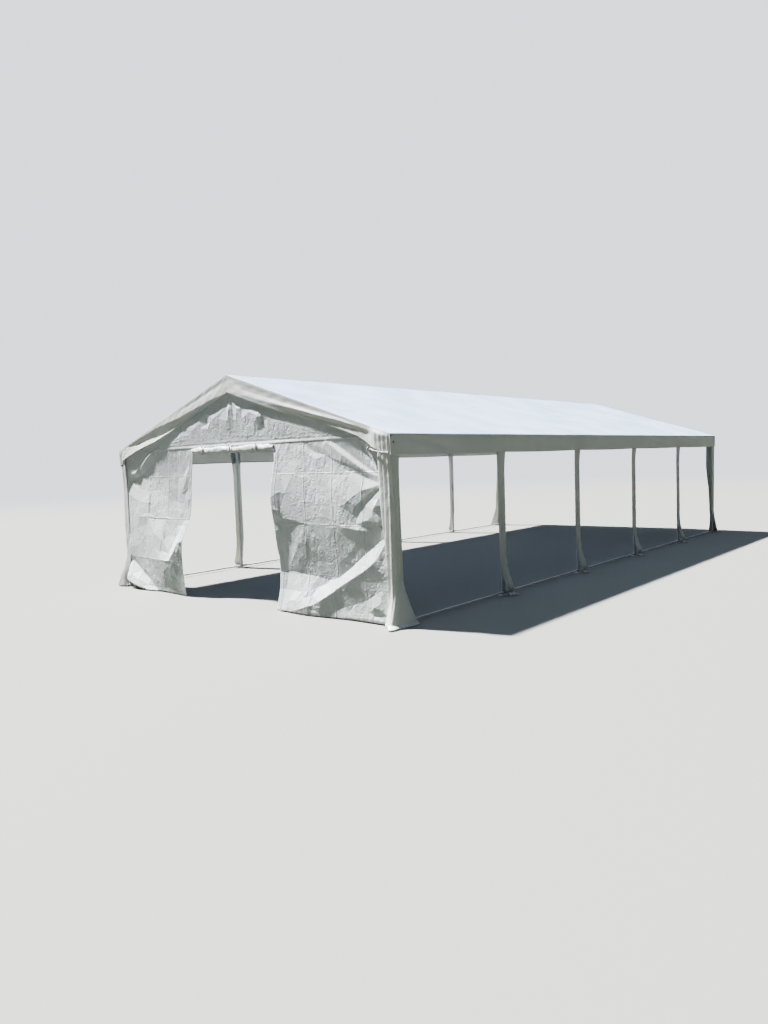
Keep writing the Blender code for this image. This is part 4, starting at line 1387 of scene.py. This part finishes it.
@dataclass
class LegCover:
    """Cover of one leg: a strip on an inner leg, or a corner wrap on an end leg, flared over the foot."""

    plan: TentPlan
    cloth: SheetFinish
    side: Side
    number: int
    thickness: float = 0.002
    head_width: float = 0.19
    corner_cut: float = 0.14
    corner_radius: float = 0.020
    flare: float = 0.45  # height under which a cover spreads
    blown: float = 0.085  # how far the wind spreads a left corner's foot
    row_step: float = 0.02
    lowest: float = 0.004  # no cloth lies lower over the ground
    middle_height: float = 1.0  # where the cover's outer side is told
    uv_shift: float = 0.013  # keeps neighbours from wearing the same creases

    HEM_ROWS = (0.0, 0.007, 0.014, 0.021, 0.028, 0.038, 0.048)  # over the hem
    CORNER_COLUMNS = (0.03, 0.06, 0.1, 0.14)  # shares of an arm, next to the corner

    # Width of a corner wrap's two arms, by height
    GABLE_ARM = (
        (0.0, 0.14), (0.1, 0.12), (0.2, 0.10), (0.35, 0.088), (0.6, 0.096), (0.9, 0.113), (1.05, 0.135),
        (1.3, 0.158),
    )
    SIDE_ARM = ((0.0, 0.23), (0.11, 0.18), (0.22, 0.15), (0.36, 0.13), (1.68, 0.112))
    # How far an inner strip stands out, and its width, by height: gathered over the foot, with a skirt below
    STRIP_OUT = (
        (0.0, 0.120), (0.02, 0.095), (0.042, 0.058), (0.065, 0.068), (0.095, 0.070), (0.14, 0.054),
        (0.22, 0.026), (0.34, 0.008), (0.5, 0.0),
    )
    STRIP_WIDTH = (
        (0.0, 0.20), (0.02, 0.16), (0.042, 0.105), (0.065, 0.14), (0.11, 0.165), (0.2, 0.150),
        (0.34, 0.138), (0.6, 0.145),
    )

    @property
    def is_corner(self) -> bool:
        """Whether it covers a leg of an end frame."""
        return self.number in (1, len(self.plan.frame_lines))

    @property
    def _end(self) -> int:
        """Sign of the end that the cover faces: -1 for the first one, else 1."""
        return -1 if self.number == 1 else 1

    def _seed(self) -> float:
        """A number of this cover's own, for its folds."""
        return self.number * 1.7 + self.side.value * 4.1

    def _waist(self, z: np.ndarray) -> np.ndarray:
        """Share that grows from 0 at the valance to 1 half a metre under it."""
        return ease(self.plan.cover_top - z, 0.05, 0.45)

    @staticmethod
    def _by_height(z: np.ndarray, table: tuple[tuple[float, float], ...]) -> np.ndarray:
        """Read a table of heights and sizes at each height."""
        return np.interp(z, *np.array(table).T)

    def _rows(self) -> np.ndarray:
        """Heights of the mesh's rows."""
        hem = self.plan.hem_height
        above = spaced(hem + 0.06, self.plan.cover_top, self.row_step)
        return np.concatenate((hem + np.array(self.HEM_ROWS), above))

    def _strip(self, flat: np.ndarray) -> np.ndarray:
        """Places of a strip, from shares across (-1 to 1) and heights."""
        plan, seed = self.plan, self._seed()
        share, z = flat[:, 0], flat[:, 1]
        low, waist = fade(z, self.flare), self._waist(z)
        shin = self._by_height(z, self.STRIP_WIDTH)
        width = self.head_width + (shin - self.head_width) * waist
        lean = 0.012 * math.sin(seed) * waist + (0.030 + 0.012 * math.sin(2 * seed)) * low**1.4
        y = plan.frame_lines[self.number - 1] + lean + share * width / 2
        curl = 0.020 * waist * (1 - low) ** 2
        ripple = 0.005 * np.sin(share * 4.6 + seed + 1.5 * z) * waist
        fold = 0.006 * np.cos(share * 7.0 + seed) * low**1.4
        fold += 0.008 * fade(z, 0.20) * np.sin(share * 9.0 + 9.0 * z / self.flare + seed)
        y += fade(z, 0.045) * (0.055 * np.maximum(share, 0) ** 3 - 0.030 * np.maximum(-share, 0) ** 3)
        out = self._by_height(z, self.STRIP_OUT)
        x = plan.cover_face - curl * share**2 + np.minimum(ripple, 0.0) + fold + out
        z = z - 0.010 * low**6 * share
        return np.column_stack((self.side.value * x, y, np.maximum(z, self.lowest)))

    def _corner(self, flat: np.ndarray) -> np.ndarray:
        """Places of a corner wrap, from shares (-1 gable edge, 0 corner, 1 side edge) and heights."""
        plan, seed = self.plan, self._seed()
        share, z = flat[:, 0], flat[:, 1]
        on_gable = share < 0
        low, waist = fade(z, self.flare), self._waist(z)
        away = self._away(share, z)
        inset, along = self._round_corner(away, z)
        pleats = corner_pleats(away, 1.0 if self.side.value * self._end < 0 else PLAIN_CORNER)
        ripple = 0.003 * np.sin(9 * away / 0.1 + seed + 2 * z) * waist
        fold = 0.007 * np.cos(away * 42.0 + seed) * low**1.4 * ease(away, 0.0, 0.03)
        lift = 0.0135 * ease(z, 1.35, 1.75)
        out = 0.020 * low
        toe, spread, tail = self._foot(share, z)
        stand = out + fold + np.where(on_gable, pleats + lift, np.minimum(ripple, 0.0))
        curl = np.where(on_gable, 0.0, 0.018 * waist * (1 - low) ** 2 * ease(away, 0.05, 0.13))
        face, front = plan.cover_face, -plan.corner_face
        x = np.where(on_gable, face - along + out, face - inset + stand - curl) + spread
        beside = front - along + out - tail + lift * (1 - ease(away, 0.0, 0.06))
        y = np.where(on_gable, front - inset + stand, beside) + toe
        z = z + np.where(on_gable, 0.0, 0.012 * self._hem_curl(z) * np.maximum(share, 0) ** 2)
        return np.column_stack((self.side.value * x, self._end * y, np.maximum(z, self.lowest)))

    def _away(self, share: np.ndarray, z: np.ndarray) -> np.ndarray:
        """Distance of each place of a corner wrap from the corner, along the cloth."""
        gable = self._by_height(z, self.GABLE_ARM)
        if self.side is Side.LEFT:
            gable = gable - 0.045 * ease(z, 0.8, 1.3) - 0.075 * ease(0.30 - z, 0.0, 0.25)
        return np.where(share < 0, -share * gable, share * self._by_height(z, self.SIDE_ARM))

    def _round_corner(self, away: np.ndarray, z: np.ndarray) -> tuple[np.ndarray, np.ndarray]:
        """How far a corner wrap lies inside the corner's two planes: from its own one, and along it."""
        radius = self.corner_radius + 0.030 * ease(1.2 - z, 0.0, 0.8)
        eighth = math.pi / 4
        arc = radius * math.pi / 4
        angle = eighth * np.clip(away / arc, 0, 1)
        straight = np.maximum(away - arc, 0.0)
        inset = radius * (1 - np.cos(eighth - angle))
        return inset, radius * (1 - np.sin(eighth - angle)) + straight

    @staticmethod
    def _hem_curl(z: np.ndarray) -> np.ndarray:
        """Share of the small curl that lifts a corner wrap's hem."""
        return fade(z, 0.07) ** 1.5

    def _foot(self, share: np.ndarray, z: np.ndarray) -> tuple[np.ndarray, np.ndarray, np.ndarray | float]:
        """How a corner wrap's foot lies on the ground.

        Args:
            share: places across, -1 at the gable edge, 0 at the corner, 1 at the side edge.
            z: their heights.

        Returns:
            How far it reaches inwards along the tent, out to the side, and along the tent at its side edge.
        """
        hook = 1 - np.abs(share)
        if self.side is Side.RIGHT:
            lip = 0.050 * fade(z - self.plan.hem_height, 0.028)
            toe = (0.125 * fade(z, 0.38) ** 1.4 + lip) * hook
            turned = lip * np.where(share < 0, 0.8 * hook, 0.8 - 0.5 * share)
            return toe, 0.095 * fade(z, self.flare) ** 1.3 * np.maximum(share, 0.0) + turned, 0.0
        gust = fade(z, 0.5) ** 1.1
        spread = (self.blown * gust + 0.045 * ease(1.5 - z, 0.0, 1.0)) * (1 + np.minimum(share, 0.0))
        return 0.090 * gust * hook, spread, 0.06 * self._hem_curl(z) * np.maximum(share, 0) ** 4

    def build(self) -> bpy.types.Object:
        """Returns:
            The cover.
        """
        sheet = SheetMesh()
        if self.is_corner:
            arm = np.concatenate((self.CORNER_COLUMNS, np.linspace(0.18, 1.0, 27)))
            shares = np.concatenate((-arm[::-1], [0.0], arm))
            sheet.grid(shares, self._rows(), self._corner)
            span = self.corner_cut
        else:
            sheet.grid(np.linspace(-1, 1, 21), self._rows(), self._strip)
            span = 0.5 * self.head_width
        sheet.scale_flat(span, 1.0, self.uv_shift * self._seed())
        sheet.face_towards(Vector((self.side.value, self._end, 0.0)), self.middle_height)
        word = f"{self.side.word}_{self.number}"
        area = sheet.area()
        thing = sheet.finish(f"leg_sheet_{word}", self.cloth, self.thickness)
        dress(thing, "cover_cloth", f"leg_cover_{word}")
        return thing


@dataclass
class RolledDoor:
    """The door, rolled up on itself under the head of the doorway and tied with tapes."""

    plan: TentPlan
    cloth: SheetFinish
    tape: bpy.types.Material
    thickness: float = 0.0012
    turns: int = 6
    height: float = 0.096
    depth: float = 0.066
    sides: int = 30
    stations: int = 72
    tapes_at: tuple[float, ...] = (-0.52, 0.02, 0.50)
    drop: float = 0.018
    ahead: float = 0.012  # how far the roll's middle stands before the wall
    inset: float = 0.004  # between the roll's end and the doorway's side
    tape_width: float = 0.018

    KNOT = ((0.5, 0.016), (-0.5, 0.016), (1.9, 0.034), (-1.7, 0.040))  # loops and tails: turn, half length
    KNOT_SIZE = (0.006, 0.009)  # half thickness and half width of its tape

    def _spiral(self, share: np.ndarray) -> tuple[np.ndarray, np.ndarray]:
        """The roll's section as (out of the wall, up) round its middle, for shares of its length."""
        angle = math.pi / 2 + 2 * math.pi * self.turns * share
        size = 1 - 0.78 * share
        return size * self.depth / 2 * np.cos(angle), size * self.height / 2 * np.sin(angle)

    def _bend(self, flat: np.ndarray) -> np.ndarray:
        """Places of the door, from its flat cut: across the doorway, and share of its length."""
        plan = self.plan
        x, share = flat[:, 0], flat[:, 1]
        out, up = self._spiral(share)
        lumps = np.array([noise.noise(Vector((place * 4.6, 0.0, 4.0))) for place in x])
        small = np.array(
            [noise.noise(Vector((place * 11.0, 14.0 * y, 22.0 * z))) for place, y, z in zip(x, out, up)]
        )
        grow = 1 + 0.30 * lumps + 0.34 * small
        for place in self.tapes_at:
            grow -= 0.20 * np.exp(-(((x - place) / 0.04) ** 2))
        span = (x - plan.door_left) / (plan.door_right - plan.door_left)
        grow *= 0.55 + 0.45 * ease(np.minimum(span, 1 - span), 0.0, 0.10)
        sag = 0.010 * np.sin(math.pi * span) + 0.008 * np.abs(np.sin(2.5 * math.pi * span))
        middle = plan.door_head - self.drop - self.height / 2
        twist = 0.25 * np.sin(5 * span + 1.0)
        out, up = out * np.cos(twist) - up * np.sin(twist) * 0.4, up * np.cos(twist) + out * np.sin(twist)
        y = plan.wall_face - self.ahead - out * grow
        z = middle - sag + up * np.minimum(grow, 1.2)
        return np.column_stack((x, y, np.minimum(z, plan.door_head - 0.002)))

    def build(self) -> bpy.types.Object:
        """Returns:
            The rolled door.
        """
        plan = self.plan
        sheet = SheetMesh()
        shares = np.linspace(0.0, 1.0, self.turns * self.sides + 1)
        across = np.linspace(plan.door_left + self.inset, plan.door_right - self.inset, self.stations + 1)
        sheet.grid(across, shares, self._bend)
        outline = np.array(self._spiral(shares))
        length = float(np.hypot(*np.diff(outline, axis=1)).sum())
        sheet.scale_flat(1.0, length)
        thing = sheet.finish("door_roll", self.cloth, self.thickness)
        dress(thing, "wall_cloth", "rolled_door")
        tapes = [self._tape(number, x) for number, x in enumerate(self.tapes_at, 1)]
        return thing

    def _tape(self, number: int, x: float) -> bpy.types.Object:
        """One tape round the roll, with its knot in front."""
        plan = self.plan
        middle = plan.door_head - self.drop - self.height / 2 - 0.008
        bm = bmesh.new()
        ring = bmesh.ops.create_circle(bm, cap_ends=False, segments=32, radius=1.0)["verts"]
        for vert in ring:
            out, up = vert.co.x, vert.co.y
            y = plan.wall_face - self.ahead - out * (self.depth / 2 + 0.002)
            vert.co = (x - self.tape_width / 2, y, middle + up * (self.height / 2 - 0.001))
        pushed = bmesh.ops.extrude_edge_only(bm, edges=list(bm.edges))["geom"]
        verts = [item for item in pushed if isinstance(item, bmesh.types.BMVert)]
        bmesh.ops.translate(bm, verts=verts, vec=(self.tape_width, 0.0, 0.0))
        front = plan.wall_face - self.ahead - self.depth / 2 - 0.004
        for turn, reach in self.KNOT:
            place = Matrix.Translation((x, front, middle + 0.012)) @ Matrix.Rotation(turn, 4, "Y")
            size = Matrix.Diagonal((reach, *self.KNOT_SIZE, 1.0))
            place = place @ size @ Matrix.Translation((0.5, 0.0, 0.0))
            bmesh.ops.create_uvsphere(bm, u_segments=12, v_segments=8, radius=1.0, matrix=place)
        bmesh.ops.recalc_face_normals(bm, faces=bm.faces)
        thing = add_piece(f"roll_tape_{number}", bm, self.tape)
        dress(thing, "tie_cord")
        return thing


@dataclass
class CornerTie:
    """Cord knotted round the wall's top right corner and drawn to the leg cover's edge."""

    plan: TentPlan
    cord: bpy.types.Material
    radius: float = 0.0055
    droop: float = 0.008

    LOOPS = ((0.0, 0.5, 0.013), (0.008, -0.4, 0.012), (-0.007, 0.1, 0.011))  # the knot's: shift, tilt, size

    @staticmethod
    def _tube(bm: bmesh.types.BMesh, path: Sequence[Vector], radius: float, closed: bool = False) -> None:
        """Add a round cord along a path, which may be a ring."""
        rings = []
        count = len(path)
        for at, point in enumerate(path):
            ahead = path[(at + 1) % count] if closed or at < count - 1 else point
            behind = path[at - 1] if closed or at > 0 else point
            turn = (ahead - behind).to_track_quat("Z", "Y").to_matrix().to_4x4()
            place = Matrix.Translation(point) @ turn
            cap = not closed and at in (0, count - 1)
            ring = bmesh.ops.create_circle(bm, cap_ends=cap, segments=10, radius=radius, matrix=place)
            rings.append(list({edge for vert in ring["verts"] for edge in vert.link_edges}))
        pairs = list(zip(rings, rings[1:])) + ([(rings[-1], rings[0])] if closed else [])
        for first, second in pairs:
            bmesh.ops.bridge_loops(bm, edges=first + second)

    def build(self) -> bpy.types.Object:
        """Make the tie.

        Returns:
            The cord with its knot.
        """
        low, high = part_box("corner_tie")
        start = Vector((low.x + 0.012, low.y + 0.010, high.z - 0.012))
        end = Vector((high.x + 0.048, low.y + 0.008, low.z + 0.010))
        bm = bmesh.new()
        path = []
        for share in np.linspace(0.0, 1.0, 15):
            point = start.lerp(end, float(share))
            point.z -= self.droop * (1 - (2 * share - 1) ** 2)
            point.y = min(point.y, self.plan.corner_face - 0.046 * float(ease(point.x, 2.20, 2.30)))
            path.append(point)
        self._tube(bm, path, self.radius)
        for shift, tilt, size in self.LOOPS:
            ring = []
            turn = Matrix.Rotation(tilt, 3, "Z")
            for angle in np.linspace(0, 2 * math.pi, 17)[:-1]:
                place = Vector((shift, size * 0.7 * math.cos(angle), size * math.sin(angle)))
                ring.append(start + turn @ place)
            self._tube(bm, ring, self.radius * 0.8, closed=True)
        tail = [start + Vector((-0.004 * at, -0.004, -0.008 * at)) for at in range(6)]
        self._tube(bm, tail, self.radius * 0.8)
        bmesh.ops.recalc_face_normals(bm, faces=bm.faces)
        thing = add_piece("corner_cord", bm, self.cord)
        dress(thing, "tie_cord", "corner_tie")
        return thing


@dataclass
class SteelFrame:
    """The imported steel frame, given its paint."""

    paint: bpy.types.Material

    def dress(self) -> int:
        """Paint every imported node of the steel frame.

        Returns:
            How many nodes were painted.
        """
        steel = ("leg_left", "leg_right", "rafter_pair", "ridge_rail", "eave_rail", "base_rail")
        painted = 0
        for name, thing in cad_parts.items():
            if name.startswith(steel) and "cover" not in name:
                for place in thing.material_slots:
                    place.material = self.paint
                painted += 1
        return painted


@dataclass
class Studio:
    """Camera, pale floor and soft light."""

    camera_place: Point = (7.1465, -10.4932, 1.6524)
    camera_turn: float = 0.7134
    camera_pitch: float = -0.0688
    camera_roll: float = -0.0354
    sensor: float = 36.0
    focal_pixels: float = 740.0  # focal length in pixels of the photograph's frame
    frame_pixels: float = 1024.0  # the frame's height
    sun_way: Point = (-0.585, -0.18, 1.0)
    sun_power: float = 12.0
    sun_angle: float = math.radians(2.5)
    sun_colour: Colour = (1.0, 0.975, 0.94)
    sky: Colour = (0.70, 0.84, 1.0)
    horizon_power: float = 0.01
    zenith_power: float = 1.0
    zenith_focus: float = 6.0  # how closely the sky's light gathers overhead
    floor_radius: float = 90.0
    exposure: float = 0.30
    floor_lift: float = 0.02  # light that the camera alone sees the floor give
    floor_seen: Colour = (0.24, 0.245, 0.235)  # its colour to the camera
    floor_bounce: Colour = (0.075, 0.08, 0.065)  # and to the light that it throws back
    backdrop: Colour = (0.74, 0.78, 0.84)

    def _camera(self) -> None:
        """Set the camera where the photographer stood."""
        data = bpy.data.cameras.new("camera")
        data.lens = self.focal_pixels / self.frame_pixels * self.sensor
        data.sensor_width = self.sensor
        data.clip_end = 400.0
        camera = bpy.data.objects.new("camera", data)
        tilt = Matrix.Rotation(math.pi / 2 + self.camera_pitch, 4, "X")
        turn = Matrix.Rotation(self.camera_turn, 4, "Z") @ tilt
        roll = Matrix.Rotation(self.camera_roll, 4, "Z")
        camera.matrix_world = Matrix.Translation(self.camera_place) @ turn @ roll
        bpy.context.scene.collection.objects.link(camera)
        bpy.context.scene.camera = camera

    def _sun(self) -> None:
        """Hang the key light."""
        data = bpy.data.lights.new("sun", "SUN")
        data.energy = self.sun_power
        data.angle = self.sun_angle
        data.color = self.sun_colour
        sun = bpy.data.objects.new("sun", data)
        sun.rotation_euler = Vector(self.sun_way).to_track_quat("Z", "Y").to_euler()
        bpy.context.scene.collection.objects.link(sun)

    def _sky(self) -> None:
        """Give the world its even light; the camera sees it paler than it shines."""
        world = bpy.data.worlds.new("sky")
        world.use_nodes = True
        tree = NodeTree(world.node_tree)
        way = tree.node("TexCoord").outputs["Generated"]
        height = tree.node("SeparateXYZ", Vector=way).outputs[2]
        overhead = tree.math("POWER", height, self.zenith_focus)
        grown = self.zenith_power - self.horizon_power
        power = tree.math("MULTIPLY_ADD", overhead, grown, self.horizon_power)
        light = world.node_tree.nodes["Background"]
        tree.tell(light, Color=(*self.sky, 1.0), Strength=power)
        seen = tree.node("Background", Color=(*self.backdrop, 1.0))
        ray = tree.node("LightPath").outputs["Is Camera Ray"]
        output = world.node_tree.nodes["World Output"]
        tree.put(output, "Surface", tree.mix(ray, light, seen).outputs[0])
        bpy.context.scene.world = world

    def _floor(self) -> None:
        """Lay a pale round floor whose rim turns up far away."""
        bm = bmesh.new()
        line = [bm.verts.new((radius, 0.0, 0.0)) for radius in (0.0, 8.0, 20.0, self.floor_radius * 0.6)]
        for turn in np.linspace(0.15, 1.0, 8):
            angle = turn * math.pi / 3
            radius = self.floor_radius * (0.6 + 0.2 * math.sin(angle))
            line.append(bm.verts.new((radius, 0.0, 18 * (1 - math.cos(angle)))))
        edges = [bm.edges.new(pair) for pair in zip(line, line[1:])]
        bmesh.ops.spin(
            bm,
            geom=line + edges,
            cent=(0, 0, 0),
            axis=(0, 0, 1),
            dvec=(0, 0, 0),
            angle=2 * math.pi,
            steps=96,
            use_merge=True,
            use_duplicate=False,
        )
        bmesh.ops.remove_doubles(bm, verts=bm.verts, dist=0.001)
        bmesh.ops.recalc_face_normals(bm, faces=bm.faces)
        floor = add_piece("floor", bm, self._floor_grey())
        floor.location.z = -0.001

    def _floor_grey(self) -> bpy.types.Material:
        """Floor's material, which fades into the backdrop far away."""
        shader = Shader("floor_grey")
        path = shader.node("LightPath").outputs["Is Camera Ray"]
        shader.surface(Base_Color=shader.blend(path, self.floor_bounce, self.floor_seen), Roughness=0.9)
        shader.surface(Emission_Color=(0.92, 0.96, 1.0, 1.0))
        shader.surface(Emission_Strength=shader.math("MULTIPLY", path, self.floor_lift))
        place = shader.node("TexCoord").outputs["Object"]
        away = shader.node("VectorMath", {"operation": "LENGTH"})
        shader.put(away, 0, place)
        far = shader.node("Emission", Color=(*self.backdrop, 1.0))
        haze = shader.math("MULTIPLY", path, shader.spread(away.outputs["Value"], 14.0, 45.0, 0.0, 1.0))
        shader.put(shader.output, "Surface", shader.mix(haze, shader.base, far).outputs[0])
        return shader.material

    def build(self) -> None:
        """Set camera, light and floor."""
        view = bpy.context.scene.view_settings
        view.view_transform = "AgX"
        view.look = "AgX - High Contrast"
        view.exposure = self.exposure
        self._camera()
        self._sun()
        self._sky()
        self._floor()


def main() -> None:
    """Dress the tent piece by piece and report each one."""
    logging.basicConfig(level=logging.INFO, format="%(name)s: %(message)s")
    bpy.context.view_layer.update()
    Studio().build()
    plan = TentPlan.from_frame()
    log.info("plan: %.3f wide, %.3f long, ridge %.3f", 2 * plan.half_width, 2 * plan.half_length, plan.ridge)
    # The roof sheet's blue tint is a painted reflection of the sky on the slopes that look up; the valances
    # are the same cloth without it.
    roof_cloth = WovenSheet(
        "roof_sheet_painted_sky", (0.55, 0.67, 0.90), roughness=0.42, glow=0.15, crumple=0.0035, facet=0.16
    ).make()
    valance_cloth = WovenSheet(
        "valance_sheet", (0.735, 0.765, 0.775), roughness=0.42, glow=0.095, crumple=0.0035, facet=0.16
    ).make()
    wall_sheet = WovenSheet(
        "wall_sheet",
        colour=(0.715, 0.76, 0.80),
        roughness=0.40,
        glow=0.12,
        crumple=0.0038,
        facet=0.032,
        packing=((0.42, 1.25, 0.018, 0.024), (0.55, 0.45, 0.012, 0.012)),
    )
    wall_cloth = wall_sheet.make()
    left_folds = ((0.48, -1.33, 0.018, 0.026), (0.55, 0.45, 0.012, 0.014))
    left_cloth = replace(wall_sheet, name="left_wall_sheet", packing=left_folds).make()
    cover_cloth = WovenSheet(
        "cover_sheet", (0.755, 0.78, 0.79), roughness=0.42, glow=0.15, crumple=0.0035, facet=0.04, soil=0.03
    ).make()
    braid = Cordage().make()
    painted = SteelFrame(FramePaint().make()).dress()
    log.info("steel frame: %d nodes painted", painted)
    roof = RoofCover(plan, roof_cloth, valance_cloth, EyeletMetal().make()).build()
    log.info("roof cover: %s", roof.name)
    panels = GableWall(plan, wall_cloth, left_cloth).build()
    log.info("gable wall: %s", ", ".join(panel.name for panel in panels))
    log.info("rolled door: %s", RolledDoor(plan, wall_cloth, braid).build().name)
    for side in Side:
        for number in range(1, len(plan.frame_lines) + 1):
            log.info("leg cover: %s", LegCover(plan, cover_cloth, side, number).build().name)
    log.info("corner tie: %s", CornerTie(plan, braid).build().name)


if __name__ == "__main__":
    main()
